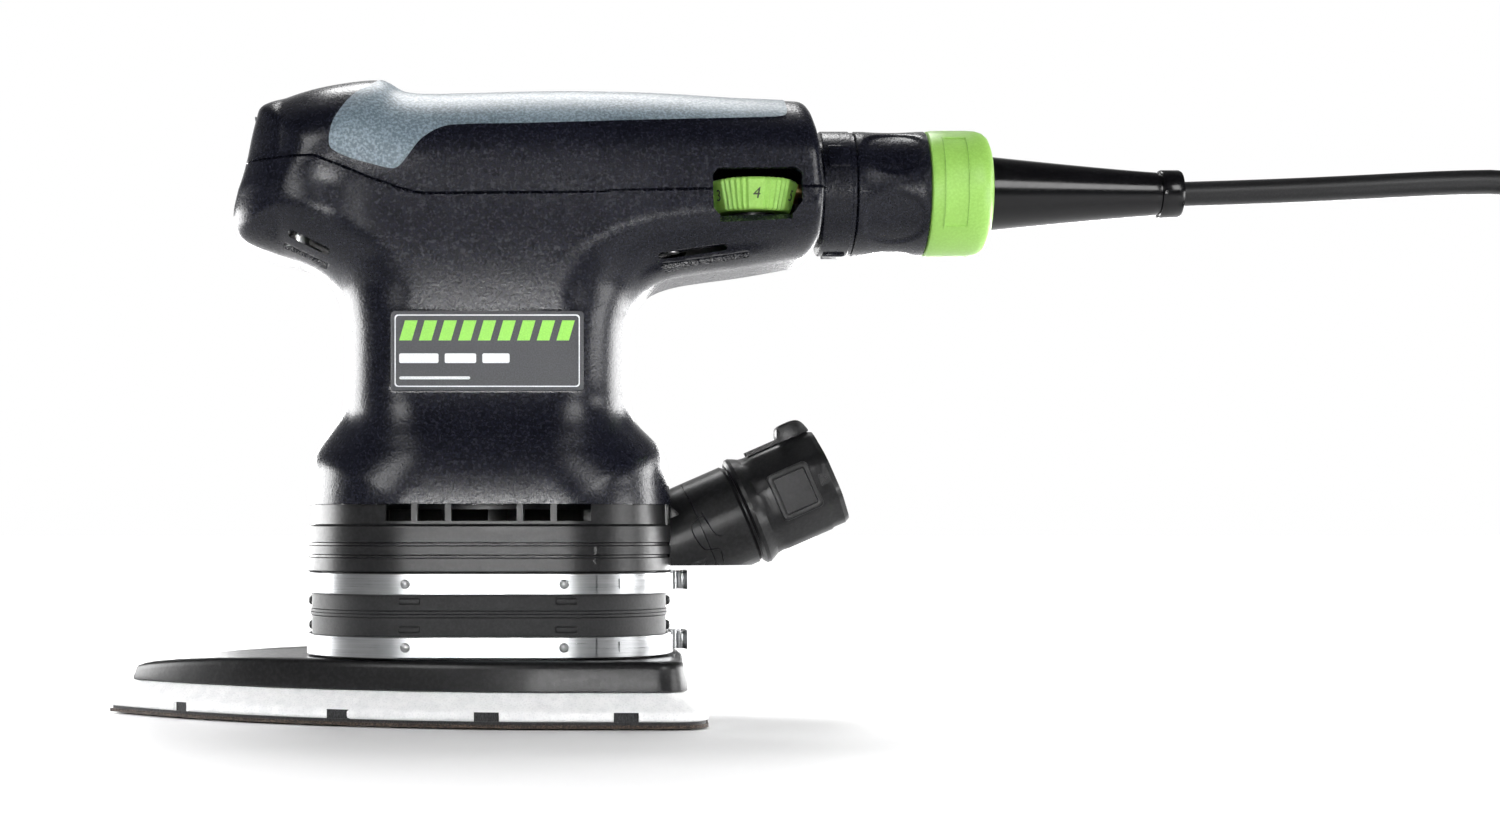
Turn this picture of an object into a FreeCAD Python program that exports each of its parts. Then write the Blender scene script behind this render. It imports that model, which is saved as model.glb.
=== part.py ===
import FreeCAD, Part
import math
import os
import re
import Sketcher
from FreeCAD import Rotation, Vector

# Electric detail sander with a delta pad, a detachable supply lead and a dust port.
# Frame: origin on the motor axis at the sole, +Z up, -X towards the pad's tip, +X towards the lead.

SIZES = {
    # sanding pad and its carrier
    "pad_tip": -95.8, "pad_rear": 54.2, "pad_half_width": 50, "pad_corner": 8,
    "sheet_top": 0.8, "hook_top": 1.5, "foam_rim_top": 3.6, "foam_top": 8, "foam_inset": 5.4,
    "carrier_inset": 4.6, "carrier_top": 15.2, "carrier_tip_top": 11.7, "neck_top": 24.5,
    "dust_hole_radius": 4, "pad_screw_radius": 2, "pad_screw_head": 3.5,
    # rounded plan shared by the sleeve, the bands, the fan housing and the foot of the motor barrel
    "plan_half_length": 44.9, "plan_half_width": 39, "plan_corner": 26, "plan_centre": 0.7,
    "spigot_inset": 3.6, "spigot_wall": 2, "sleeve_outer_inset": 1.15, "sleeve_inner_inset": 3.3,
    "sleeve_low": 15.5, "sleeve_high": 35.6, "band_thickness": 0.8, "band_height": 5.1,
    "lower_band_low": 15.6, "upper_band_low": 30.6, "clasp_half_width": 6,
    # fan housing
    "fan_low": 35.9, "fan_step": 47.1, "fan_high": 52.2, "fan_wall": 2.6, "fan_step_inset": 1.3,
    "spigot_low": 27, "baffle_low": 45.6, "baffle_radius": 31.3,
    "window_low": 48, "window_left": -23, "window_right": 25.6,
    # dust port, tilted up from the X axis about port_x, port_z
    "port_angle": 23.6, "port_x": 64.7, "port_z": 50.3, "port_outer": 13, "port_bore": 11,
    "port_duct": 9.5, "port_ridge": 14, "port_end_outer": 12.8, "port_root": 19,
    "port_length": 23.6, "port_flat": 37.1,
    # rotor and motor
    "orbit_radius": 1, "shaft_radius": 4, "shaft_low": 26, "shaft_high": 120.5,
    "journal_radius": 10, "journal_low": 24, "journal_high": 38.6, "pin_radius": 6, "pin_low": 14,
    "fan_radius": 30.5, "fan_disc_low": 45.8, "fan_disc_high": 47.2, "fan_blades_high": 51.4,
    "core_low": 66, "core_high": 92, "armature_radius": 18, "stator_bore": 18.6, "stator_outer": 28.6,
    "winding_low": 62.8, "winding_high": 96, "commutator_low": 98.5, "commutator_high": 109.5,
    "commutator_radius": 11, "running_gap": 0.05,
    "lower_bearing_low": 54.5, "upper_bearing_low": 113, "motor_bearing_width": 7,
    "motor_bearing_outer": 11, "pad_bearing_outer": 14, "pad_bearing_width": 8,
    # housing
    "wall": 2.6, "parting_front": 136.4, "parting_rear": 127.2, "rear_face": 81.4,
    "badge_left": -22.6, "badge_right": 24.3, "badge_low": 78.9, "badge_high": 98.8,
    # controls
    "dial_x": 65.5, "dial_y": -18.3, "dial_low": 123.4, "dial_high": 131.1, "dial_radius": 11,
    "dial_low_radius": 9.4, "dial_shaft_radius": 3, "rocker_pivot_x": -53.6, "rocker_pivot_z": 144.8,
    # supply plug on the X axis at plug_z
    "plug_z": 131, "inlet_front": 83.7, "inlet_end": 91.8, "inlet_radius": 15.65, "collar_radius": 15.6,
    "collar_bore": 11.65, "plug_radius": 11.6, "ring_start": 110.2, "ring_end": 126, "ring_radius": 15.8,
    "relief_start_radius": 9.45, "relief_end_radius": 5.6, "relief_end": 169.6, "bead_end": 175.4,
    "bead_radius": 6.05, "cord_diameter": 6.2,
    # stored coil
    "coil_x": 345, "coil_y": -45, "coil_inner": 26.1, "coil_outer": 57.3,
}

doc = FreeCAD.newDocument("detail_sander")
sheet = doc.addObject("Spreadsheet::Sheet", "dims")
for row, (alias, value) in enumerate(SIZES.items(), start=1):
    sheet.set(f"A{row}", alias)
    sheet.set(f"B{row}", str(value))
    sheet.setAlias(f"B{row}", alias)
doc.recompute()

NODES = []
RIGHT_ANGLE = 90


def size(alias):
    """A driving dimension, read back from the sheet."""
    return float(getattr(sheet, alias))


def formula(text):
    """An expression in which each driving dimension is named on the sheet."""
    return re.sub(r"[a-z_]+", lambda found: named(found.group()), str(text))


def named(word):
    return f"dims.{word}" if word in SIZES else word


def node(piece, label):
    """Name a finished sub-part and keep it for writing."""
    piece.Label = label
    NODES.append(piece)
    return piece


def place(piece, at, turn):
    for axis, text in zip("xyz", at):
        piece.setExpression(f".Placement.Base.{axis}", formula(text))
    if turn:
        piece.Placement.Rotation = Rotation(Vector(*turn[:3]), turn[3])


def primitive(kind, name, at, turn=None, **sizes):
    piece = doc.addObject(f"Part::{kind}", name)
    for prop, text in sizes.items():
        piece.setExpression(prop, formula(text))
    place(piece, at, turn)
    return piece


def cylinder(name, radius, height, at, turn=None):
    return primitive("Cylinder", name, at, turn, Radius=radius, Height=height)


def tube(name, outer, inner, height, at, turn=None):
    body = cylinder(f"{name}_outside", outer, height, at, turn)
    return cut(name, body, cylinder(f"{name}_bore", inner, height, at, turn))


def block(name, low, high):
    spans = [f"({top})-({bottom})" for bottom, top in zip(low, high)]
    return primitive("Box", name, low, Length=spans[0], Width=spans[1], Height=spans[2])


def join(name, pieces):
    if len(pieces) == 1:
        return pieces[0]
    fused = doc.addObject("Part::MultiFuse", name)
    fused.Shapes = list(pieces)
    return fused


def group(name, pieces):
    """Separate solids of one kind that share a node."""
    together = doc.addObject("Part::Compound", name)
    together.Links = list(pieces)
    return together


def cut(name, base, *tools):
    result = doc.addObject("Part::Cut", name)
    result.Base = base
    result.Tool = join(f"{name}_tools", tools)
    return result


def feature(name, shape):
    piece = doc.addObject("Part::Feature", name)
    piece.Shape = shape
    return piece


# ---------------------------------------------------------------- rounded plan, as sketched pads


def rounded_loop(sketch, inset):
    """A closed rounded rectangle, the shared plan moved inwards by inset."""
    half_x = f"(plan_half_length - ({inset}))"
    half_y = f"(plan_half_width - ({inset}))"
    corner = f"(plan_corner - ({inset}))"
    inwards = inset_value(inset)
    long_half = size("plan_half_length") - inwards
    wide_half = size("plan_half_width") - inwards
    radius = size("plan_corner") - inwards
    middle = size("plan_centre")
    turns = [(1, -1), (1, 1), (-1, 1), (-1, -1)]
    first = sketch.GeometryCount
    for number, (side_x, side_y) in enumerate(turns):
        centre = Vector(middle + side_x * (long_half - radius), side_y * (wide_half - radius), 0)
        start = math.radians(RIGHT_ANGLE * (number - 1))
        circle = Part.Circle(centre, Vector(0, 0, 1), radius)
        sketch.addGeometry(Part.ArcOfCircle(circle, start, start + math.pi / 2))
    for number in range(4):
        begin = sketch.Geometry[first + number].EndPoint
        finish = sketch.Geometry[first + (number + 1) % 4].StartPoint
        sketch.addGeometry(Part.LineSegment(begin, finish))
    for number in range(4):
        arc, after, line = first + number, first + (number + 1) % 4, first + 4 + number
        sketch.addConstraint(Sketcher.Constraint("Tangent", arc, 2, line, 1))
        sketch.addConstraint(Sketcher.Constraint("Tangent", line, 2, after, 1))
        upright = "Vertical" if number % 2 == 0 else "Horizontal"
        sketch.addConstraint(Sketcher.Constraint(upright, line))
        if number:
            sketch.addConstraint(Sketcher.Constraint("Equal", first, arc))
    limits = [("Radius", (first, radius), corner),
              ("DistanceX", (-1, 1, first + 4, 1, middle + long_half), f"plan_centre + {half_x}"),
              ("DistanceX", (first + 6, 1, -1, 1, long_half - middle), f"{half_x} - plan_centre"),
              ("DistanceY", (-1, 1, first + 5, 1, wide_half), half_y),
              ("DistanceY", (first + 7, 1, -1, 1, wide_half), half_y)]
    for kind, arguments, text in limits:
        index = sketch.addConstraint(Sketcher.Constraint(kind, *arguments))
        sketch.setExpression(f"Constraints[{index}]", formula(text))


def inset_value(text):
    """The value of an inset written as a number, an alias or a sum of them."""
    return sum(size(term) if term in SIZES else float(term) for term in str(text).split(" + "))


def plan_rings(name, rings):
    """A body of pads on the shared plan: (outer inset, inner inset or None, low, high) each."""
    body = doc.addObject("PartDesign::Body", name)
    ground = [plane for plane in body.Origin.OriginFeatures if plane.Role == "XY_Plane"][0]
    for number, (outer, inner, low, high) in enumerate(rings):
        sketch = body.newObject("Sketcher::SketchObject", f"{name}_plan_{number}")
        sketch.AttachmentSupport = (ground, [""])
        sketch.MapMode = "FlatFace"
        sketch.setExpression("AttachmentOffset.Base.z", formula(low))
        rounded_loop(sketch, outer)
        if inner is not None:
            rounded_loop(sketch, inner)
        pad = body.newObject("PartDesign::Pad", f"{name}_pad_{number}")
        pad.Profile = sketch
        pad.setExpression("Length", formula(f"({high}) - ({low})"))
        doc.recompute()
    return body


# ---------------------------------------------------------------- pad


BELLY_X, BELLY_HALF_WIDTH = -40, 37.5
KNEE_X, KNEE_INSET = 12, 0.4
REAR_BOW, REAR_STRAIGHT_GAP = 1.2, 1
# how far the tip and the middle of a bowed side move for each millimetre of inset
TIP_MOVE, BELLY_MOVE_X, BELLY_MOVE_Y = 1.3, 0.4, 0.9


def pad_outline(inset, height):
    """The delta outline at one height, moved inwards by inset: bowed sides, rounded rear corners."""
    tip = Vector(size("pad_tip") + TIP_MOVE * inset, 0, height)
    rear = size("pad_rear") - inset
    wide = size("pad_half_width") - inset
    corner = size("pad_corner")
    back = rear - REAR_BOW

    def side(sign):
        belly = Vector(BELLY_X + BELLY_MOVE_X * inset,
                       -sign * (BELLY_HALF_WIDTH - BELLY_MOVE_Y * inset), height)
        knee = Vector(KNEE_X, -sign * (wide - KNEE_INSET), height)
        edge = Vector(rear - corner - REAR_STRAIGHT_GAP, -sign * wide, height)
        turned = Vector(back, -sign * (wide - corner), height)
        middle = Vector(back - 0.3 * corner, -sign * (wide - 0.22 * corner), height)
        return [Part.Arc(tip, belly, knee), Part.LineSegment(knee, edge), Part.Arc(edge, middle, turned)]

    near, far = side(1), side(-1)
    rear_edge = Part.Arc(near[2].EndPoint, Vector(rear, 0, height), far[2].EndPoint)
    curves = near + [rear_edge] + far[::-1]
    return Part.Wire(Part.__sortEdges__([curve.toShape() for curve in curves]))


def pad_slab(inset, low, high):
    face = Part.Face(pad_outline(inset, low))
    return face.extrude(Vector(0, 0, high - low))


DUST_HOLES = [(-31, 18), (-31, -18), (0, 28), (0, -28), (28, 26), (28, -26), (-68, 0)]
PAD_SCREWS = [(-52, 14), (-52, -14), (32, 38), (32, -38)]


def holes(name, places, radius, low, high):
    """Upright cylinders at each place, joined as one cutting tool."""
    drills = [cylinder(f"{name}_{number}", radius, f"({high}) - ({low})", (x, y, low))
              for number, (x, y) in enumerate(places)]
    return join(name, drills)


def build_pad():
    sheet_slab = feature("sheet_slab", pad_slab(0, 0, size("sheet_top")))
    node(cut("abrasive", sheet_slab, holes("sheet_holes", DUST_HOLES, "dust_hole_radius", -1, 5)),
         "abrasive_sheet")
    hook_slab = feature("hook_slab", pad_slab(0.6, size("sheet_top"), size("hook_top")))
    node(cut("hooks", hook_slab, holes("hook_holes", DUST_HOLES, "dust_hole_radius", -1, 5)), "hook_layer")
    rim = pad_slab(0, size("hook_top"), size("foam_rim_top"))
    flare = Part.makeLoft([pad_outline(0, size("foam_rim_top")),
                           pad_outline(size("foam_inset"), size("foam_top"))], True, True)
    foam = feature("foam", rim.fuse(flare).removeSplitter())
    node(cut("foam_drilled", foam, holes("foam_holes", DUST_HOLES, "dust_hole_radius", -1, 9),
             holes("foam_screw_holes", PAD_SCREWS, "pad_screw_head + 0.7", -1, 9)), "sanding_pad")
    screws = []
    for number, (x, y) in enumerate(PAD_SCREWS):
        head = cylinder(f"pad_screw_head_{number}", "pad_screw_head", 2.6, (x, y, "foam_top - 2.6"))
        shank = cylinder(f"pad_screw_shank_{number}", "pad_screw_radius", 6, (x, y, "foam_top"))
        screws.append(join(f"pad_screw_{number}", [head, shank]))
    node(group("pad_screw_set", screws), "pad_screws")


def build_carrier():
    top, tip_top = size("carrier_top"), size("carrier_tip_top")
    plate = pad_slab(size("carrier_inset"), size("foam_top"), top)
    slope = [Vector(-110, 0, top + 5), Vector(-110, 0, tip_top - 1), Vector(-89.5, 0, tip_top),
             Vector(-76, 0, top - 1.3), Vector(-60, 0, top - 0.3), Vector(-48, 0, top),
             Vector(-48, 0, top + 5)]
    dome = Part.Face(Part.makePolygon(slope + slope[:1])).extrude(Vector(0, 120, 0))
    dome.translate(Vector(0, -60, 0))
    channel = Part.makeBox(36, 7, 3, Vector(-70, -3.5, size("foam_top")))
    plate = feature("carrier_plate", plate.cut(dome).cut(channel))
    neck = plan_rings("carrier_neck", [("spigot_inset", "spigot_inset + spigot_wall",
                                        "carrier_top - 1", "neck_top")])
    hub = cylinder("carrier_hub", "pad_bearing_outer + 3.2", "22.2 - carrier_top + 1",
                   ("orbit_radius", 0, "carrier_top - 1"))
    whole = join("carrier_blank", [plate, neck, hub])
    seat = cylinder("bearing_seat", "pad_bearing_outer", 20, ("orbit_radius", 0, "pin_low"))
    access = cylinder("screw_access", 11, 20, ("orbit_radius", 0, 0))
    drilled = cut("carrier", whole, seat, access,
                  holes("carrier_holes", DUST_HOLES[:6], "dust_hole_radius", 5, 17),
                  holes("carrier_screws", PAD_SCREWS, "pad_screw_radius", 5, 14))
    node(drilled, "pad_carrier")


# ---------------------------------------------------------------- sleeve, bands and fan housing

FAN_SCREWS = [(33.8, 27.1), (33.8, -27.1), (-32.4, 27.1), (-32.4, -27.1)]
WINDOW_RIBS = [-17, -9, 8, 16]


def build_band(name, low):
    node(plan_rings(f"{name}_clamp_band_body", [("0", "band_thickness", low, f"{low} + band_height")]),
         f"{name}_clamp_band")
    end = "plan_half_length + plan_centre"
    ear = block(f"{name}_ear", (end, "-clasp_half_width", f"{low} + 0.4"),
                (f"{end} + 4.8", "clasp_half_width", f"{low} + band_height + 0.2"))
    hollow = block(f"{name}_ear_hollow", (f"{end} + 0.9", "-clasp_half_width - 1", f"{low} + 1.3"),
                   (f"{end} + 3.6", "clasp_half_width + 1", f"{low} + band_height + 1"))
    node(cut(f"{name}_clasp", ear, hollow), f"{name}_band_clasp")


def port_direction():
    angle = math.radians(size("port_angle"))
    return Vector(math.cos(angle), 0, math.sin(angle))


def port_tube(outer, inner, start, finish):
    """A piece of the tilted dust duct between two distances from the port's reference point."""
    axis = port_direction()
    begin = Vector(size("port_x"), 0, size("port_z")) + axis * start
    solid = Part.makeCylinder(outer, finish - start, begin, axis)
    if inner:
        solid = solid.cut(Part.makeCylinder(inner, finish - start, begin, axis))
    return solid


def build_fan_housing():
    shell = plan_rings("fan_shell", [
        ("spigot_inset", "spigot_inset + spigot_wall", "spigot_low", "fan_low"),
        ("0", "spigot_inset + spigot_wall", "fan_low", "fan_low + 1.6"),
        ("0", "fan_wall", "fan_low + 1.6", "fan_step"),
        ("fan_step_inset", "fan_wall", "fan_step", "fan_high")])
    baffle = plan_rings("fan_baffle", [("fan_wall", None, "baffle_low", "fan_step")])
    baffle_ring = cut("baffle_ring", baffle, cylinder("baffle_hole", "baffle_radius", 10, (0, 0, 40)))
    window = block("fan_window", ("window_left", -60, "window_low"), ("window_right", 60, "fan_high + 1"))
    duct = feature("duct_opening", port_tube(size("port_duct"), 0, -40, 0).cut(
        Part.makeBox(80, 80, 20, Vector(0, -40, size("baffle_low")))))
    bosses = [cylinder(f"fan_boss_{number}", 4, "fan_high - fan_low", (x, y, "fan_low"))
              for number, (x, y) in enumerate(FAN_SCREWS)]
    ribs = [block(f"window_rib_{number}", (x, -37, "fan_step"), (x + 1.6, 37, "fan_high"))
            for number, x in enumerate(WINDOW_RIBS)]
    clear = cylinder("rib_clearance", 32.5, 20, (0, 0, 40))
    ribs_trimmed = cut("window_ribs", join("rib_blanks", ribs), clear)
    opened = cut("fan_housing_open", join("fan_housing_blank", [shell, baffle_ring]), window, duct)
    whole = join("fan_housing_whole", [opened, ribs_trimmed] + bosses)
    drilled = cut("fan_housing_drilled", whole, holes("fan_screw_holes", FAN_SCREWS, 2, 30, 60),
                  holes("fan_screw_heads", FAN_SCREWS, 3.6, 30, "fan_low + 3"))
    node(drilled, "fan_housing")
    screws = []
    for number, (x, y) in enumerate(FAN_SCREWS):
        head = cylinder(f"fan_screw_head_{number}", 3.4, 2.5, (x, y, "fan_low + 0.5"))
        shank = cylinder(f"fan_screw_shank_{number}", 2, 20, (x, y, "fan_low + 3"))
        screws.append(join(f"fan_screw_{number}", [head, shank]))
    node(group("fan_screw_set", screws), "fan_housing_screws")


# a rib round the socket's mouth, and a latch nub on top of the socket at these distances along it
RIDGE_WIDTH = 2.6
LATCH = {"start": (15.5, 22), "width": 7, "height": 5, "sunk": 1.4}


def build_dust_port():
    length, root = size("port_length"), size("port_root")
    neck = port_tube(size("port_outer"), size("port_duct"), -root - 14, 0)
    face = size("plan_half_length") + size("plan_centre")
    beyond = Part.makeBox(80, 80, 80, Vector(face, -40, size("port_flat")))
    node(feature("port_neck", neck.common(beyond)), "dust_port")
    end = port_tube(size("port_end_outer"), size("port_bore"), 0, length)
    ridge = port_tube(size("port_ridge"), size("port_bore"), 0, RIDGE_WIDTH)
    low, high = LATCH["start"]
    latch = Part.makeBox(high - low, LATCH["width"], LATCH["height"],
                         Vector(low, -LATCH["width"] / 2, size("port_end_outer") - LATCH["sunk"]))
    latch.rotate(Vector(0, 0, 0), Vector(0, 1, 0), -size("port_angle"))
    latch.translate(Vector(size("port_x"), 0, size("port_z")))
    whole = end.fuse([ridge, latch]).cut(port_tube(size("port_bore"), 0, -1, length + 1))
    node(feature("port_end", whole), "dust_port_end")


# ---------------------------------------------------------------- housing shells

# height, half length, half width, corner radius, centre in X
BARREL = [(52.2, 44.9, 39.0, 26.0, 0.7), (57.0, 44.3, 38.6, 25.5, 0.7), (62.0, 43.2, 37.8, 25.0, 0.8),
          (66.0, 41.4, 36.6, 24.0, 0.8), (70.0, 38.9, 34.9, 22.0, 0.6), (74.0, 36.3, 33.1, 20.0, 0.2),
          (78.0, 34.9, 32.0, 18.0, 0.0), (97.0, 34.8, 32.0, 18.0, 0.4), (104.0, 37.8, 31.4, 18.0, 0.6),
          (112.0, 46.0, 29.0, 18.0, 0.6)]
# distance in X, half width, lowest, highest, corner radius
GRIP = [(-62.2, 17.0, 118.5, 131.0, 6.0), (-60.0, 22.0, 116.8, 138.0, 9.0),
        (-57.0, 26.0, 115.8, 149.0, 12.0), (-50.0, 29.5, 113.6, 153.8, 14.0),
        (-40.0, 31.0, 109.8, 156.2, 15.0), (-27.0, 31.5, 108.0, 157.7, 15.0),
        (-17.0, 31.0, 107.2, 154.4, 15.0), (5.0, 30.0, 106.0, 154.7, 14.0),
        (33.0, 29.5, 106.0, 154.7, 14.0), (50.0, 29.0, 108.8, 153.9, 14.0),
        (66.0, 29.0, 111.1, 153.1, 13.0), (81.4, 28.5, 114.2, 151.6, 12.0)]


def rounded_wire(half_u, half_v, radius, centre, toward_u, toward_v):
    """A rounded rectangle about centre, spanned by two unit vectors."""
    corners = []
    edges = []
    for number, (side_u, side_v) in enumerate([(1, -1), (1, 1), (-1, 1), (-1, -1)]):
        middle = centre + toward_u * (side_u * (half_u - radius)) + toward_v * (side_v * (half_v - radius))
        angles = [math.radians(RIGHT_ANGLE * (number - 1) + step) for step in (0, 45, 90)]
        points = [middle + toward_u * (radius * math.cos(angle)) + toward_v * (radius * math.sin(angle))
                  for angle in angles]
        corners.append(points)
    for number, points in enumerate(corners):
        edges.append(Part.Arc(*points).toShape())
        edges.append(Part.makeLine(points[2], corners[(number + 1) % 4][0]))
    return Part.Wire(edges)


def barrel_solid(inset):
    along, across = Vector(1, 0, 0), Vector(0, 1, 0)
    wires = [rounded_wire(long_half - inset, wide_half - inset, corner - inset,
                          Vector(centre, 0, height), along, across)
             for height, long_half, wide_half, corner, centre in BARREL]
    return Part.makeLoft(wires, True, True)


def grip_solid(inset):
    across, up = Vector(0, 1, 0), Vector(0, 0, 1)
    wires = []
    for number, (x, half, low, high, corner) in enumerate(GRIP):
        shift = {0: inset, len(GRIP) - 1: -inset}.get(number, 0)
        wires.append(rounded_wire(half - inset, (high - low) / 2 - inset, corner - inset,
                                  Vector(x + shift, 0, (high + low) / 2), across, up))
    return Part.makeLoft(wires, True, True)


def above_parting():
    """Everything above the line where the two housing shells meet."""
    front, rear = size("parting_front"), size("parting_rear")
    line = [Vector(-90, -60, front), Vector(-42, -60, front), Vector(-17, -60, rear),
            Vector(90, -60, rear + 1.6), Vector(90, -60, 200), Vector(-90, -60, 200)]
    return Part.Face(Part.makePolygon(line + line[:1])).extrude(Vector(0, 120, 0))


def slot(start, finish, height, sign):
    """A slanting vent slot between two points of the side wall, on one side of the housing."""
    run = math.hypot(finish[0] - start[0], finish[1] - start[1])
    tool = Part.makeBox(run, 22, height, Vector(0, -11, -height / 2))
    tool.rotate(Vector(0, 0, 0), Vector(0, 1, 0), -math.degrees(math.atan2(finish[1] - start[1],
                                                                          finish[0] - start[0])))
    tool.translate(Vector(start[0], sign * 31, start[1]))
    return tool


VENTS = [((-48.3, 118.4), (-38.2, 112.8)), ((-49.6, 115.6), (-39.2, 109.9)),
         ((42.0, 112.6), (58.6, 115.2)), ((43.0, 109.8), (63.0, 112.9))]
INLAY_DEPTH, INLAY_LOW = 1, 149.6
HOUSING_SCREWS = [(-46, 17), (-46, -17), (44, 20), (44, -20)]
INLET_HOLE = 13.6
DIAL_WINDOW, DIAL_GAP = (55.2, 76.8), 1.4
ROCKER_HOLE = (14, 10.5)


def boss_floor(x):
    """Where the screw recesses of the front or the rear bosses begin."""
    return 112.5 if x < 0 else 110.5


def build_housing():
    wall = size("wall")
    outer = barrel_solid(0).fuse(grip_solid(0))
    inner = barrel_solid(wall).fuse(grip_solid(wall))
    foot = rounded_wire(size("plan_half_length") - wall, size("plan_half_width") - wall,
                        size("plan_corner") - wall, Vector(size("plan_centre"), 0, 50),
                        Vector(1, 0, 0), Vector(0, 1, 0))
    openings = [inner, Part.Face(foot).extrude(Vector(0, 0, 3))]
    openings += [slot(start, finish, 1.9, sign) for start, finish in VENTS for sign in (1, -1)]
    rear, plug_z = size("rear_face"), size("plug_z")
    openings.append(Part.makeCylinder(INLET_HOLE, 12, Vector(rear - 6, 0, plug_z), Vector(1, 0, 0)))
    dial_height = size("dial_high") - size("dial_low")
    openings.append(Part.makeBox(DIAL_WINDOW[1] - DIAL_WINDOW[0], 20, dial_height + 2 * DIAL_GAP,
                                 Vector(DIAL_WINDOW[0], -40, size("dial_low") - DIAL_GAP)))
    openings.append(Part.makeBox(14, ROCKER_HOLE[0], ROCKER_HOLE[1],
                                 Vector(-66, -ROCKER_HOLE[0] / 2, size("rocker_pivot_z") - 5.2)))
    openings.append(Part.makeBox(size("badge_right") - size("badge_left"), 20,
                                 size("badge_high") - size("badge_low"),
                                 Vector(size("badge_left"), -51.1, size("badge_low"))))
    shell = outer
    for opening in openings:
        shell = shell.cut(opening)
    upper_space = above_parting()
    lower, upper = shell.cut(upper_space), shell.common(upper_space)
    lower_bosses, upper_bosses, screws = [], [], []
    for x, y in HOUSING_SCREWS:
        post = Part.makeCylinder(4.2, 60, Vector(x, y, 100)).common(outer)
        lower_bosses.append(post.cut(upper_space))
        upper_bosses.append(post.common(upper_space))
        low = boss_floor(x)
        head = Part.makeCylinder(3.4, 2.4, Vector(x, y, low + 3))
        screws.append(head.fuse(Part.makeCylinder(2, 33, Vector(x, y, low + 5.4))))
    fan_bosses = [Part.makeCylinder(4, 9.8, Vector(x, y, size("fan_high"))) for x, y in FAN_SCREWS]
    drills = [Part.makeCylinder(2, 20.5, Vector(x, y, size("fan_high") - 12)) for x, y in FAN_SCREWS]
    for x, y in HOUSING_SCREWS:
        low = boss_floor(x)
        drills.append(Part.makeCylinder(3.6, 15.4, Vector(x, y, low - 10)))
        drills.append(Part.makeCylinder(2, 33.4, Vector(x, y, low + 5)))
    lower = lower.fuse(lower_bosses + fan_bosses).cut(drills)
    upper = upper.fuse(upper_bosses).cut(drills)
    node(feature("lower_shell", lower), "lower_housing")
    cap = outer.common(Part.makeBox(99, 40, 30, Vector(-26, -20, INLAY_LOW)))
    inlay_space = cap.cut(cap.translated(Vector(0, 0, -INLAY_DEPTH)))
    inlay_space = inlay_space.common(Part.makeBox(99, 40, 30, Vector(-26, -20, INLAY_LOW + INLAY_DEPTH)))
    node(feature("upper_shell", upper.cut(inlay_space)), "upper_housing")
    node(feature("inlay", inlay_space), "grip_inlay")
    node(feature("housing_screw_set", Part.makeCompound(screws)), "housing_screws")
    plate = Part.makeBox(size("badge_right") - size("badge_left") - 0.8, 0.8,
                         size("badge_high") - size("badge_low") - 0.8,
                         Vector(size("badge_left") + 0.4, -31.9, size("badge_low") + 0.4))
    node(feature("badge", plate), "badge_plate")


# ---------------------------------------------------------------- bearings, motor and rotor


def ball_bearing(name, bore, outer, width, x, low, count):
    """Grooved outer and inner rings, as two sub-parts, and the set of balls between them."""
    bore, outer = size(bore), size(outer)
    height = size(low) if low in SIZES else low
    wide = size(width)
    middle = Vector(x, 0, height + wide / 2)
    pitch = (bore + outer) / 2
    ball = (outer - bore) * 0.27
    groove = Part.makeTorus(pitch, ball + size("running_gap"), middle)
    land = (outer - bore) * 0.3

    def ring(outside, inside):
        solid = Part.makeCylinder(outside, wide, Vector(x, 0, height))
        return solid.cut(Part.makeCylinder(inside, wide, Vector(x, 0, height))).cut(groove)

    balls = []
    for number in range(count):
        angle = 2 * math.pi * number / count
        balls.append(Part.makeSphere(ball, middle + Vector(math.cos(angle), math.sin(angle), 0) * pitch))
    node(feature(f"{name}_race_out", ring(outer, outer - land)), f"{name}_outer_ring")
    node(feature(f"{name}_race_in", ring(bore + land, bore)), f"{name}_inner_ring")
    return balls


def build_bearings():
    balls = ball_bearing("lower_bearing", "shaft_radius", "motor_bearing_outer", "motor_bearing_width",
                         0, "lower_bearing_low", 7)
    balls += ball_bearing("upper_bearing", "shaft_radius", "motor_bearing_outer", "motor_bearing_width",
                          0, "upper_bearing_low", 7)
    balls += ball_bearing("pad_bearing", "pin_radius", "pad_bearing_outer", "pad_bearing_width",
                          size("orbit_radius"), "pin_low", 8)
    node(feature("ball_sets", Part.makeCompound(balls)), "bearing_balls")


def build_supports():
    disc = cylinder("plate_disc", 35.5, 3, (0, 0, 53.5))
    hub = cylinder("plate_hub", 14.5, 8, (0, 0, 53.5))
    seat = cylinder("plate_seat", "motor_bearing_outer", 20, (0, 0, "lower_bearing_low"))
    bore = cylinder("plate_bore", 7, 20, (0, 0, 50))
    vents = [cylinder(f"plate_vent_{number}", 6, 10,
                      (25 * math.cos(math.pi * number / 3), 25 * math.sin(math.pi * number / 3), 50))
             for number in range(6)]
    node(cut("bearing_plate_drilled", join("bearing_plate_blank", [disc, hub]), seat, bore, *vents),
         "lower_bearing_plate")
    bridge = block("bridge", (-12, -23.2, 111), (12, 23.2, 120))
    cup = cylinder("bridge_cup", 14, 9, (0, 0, 111))
    bridge_seat = cylinder("bridge_seat", "motor_bearing_outer", 20, (0, 0, "upper_bearing_low"))
    bridge_bore = cylinder("bridge_bore", 7, 20, (0, 0, 105))
    node(cut("bearing_bracket", join("bridge_blank", [bridge, cup]), bridge_seat, bridge_bore),
         "upper_bearing_bracket")


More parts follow.
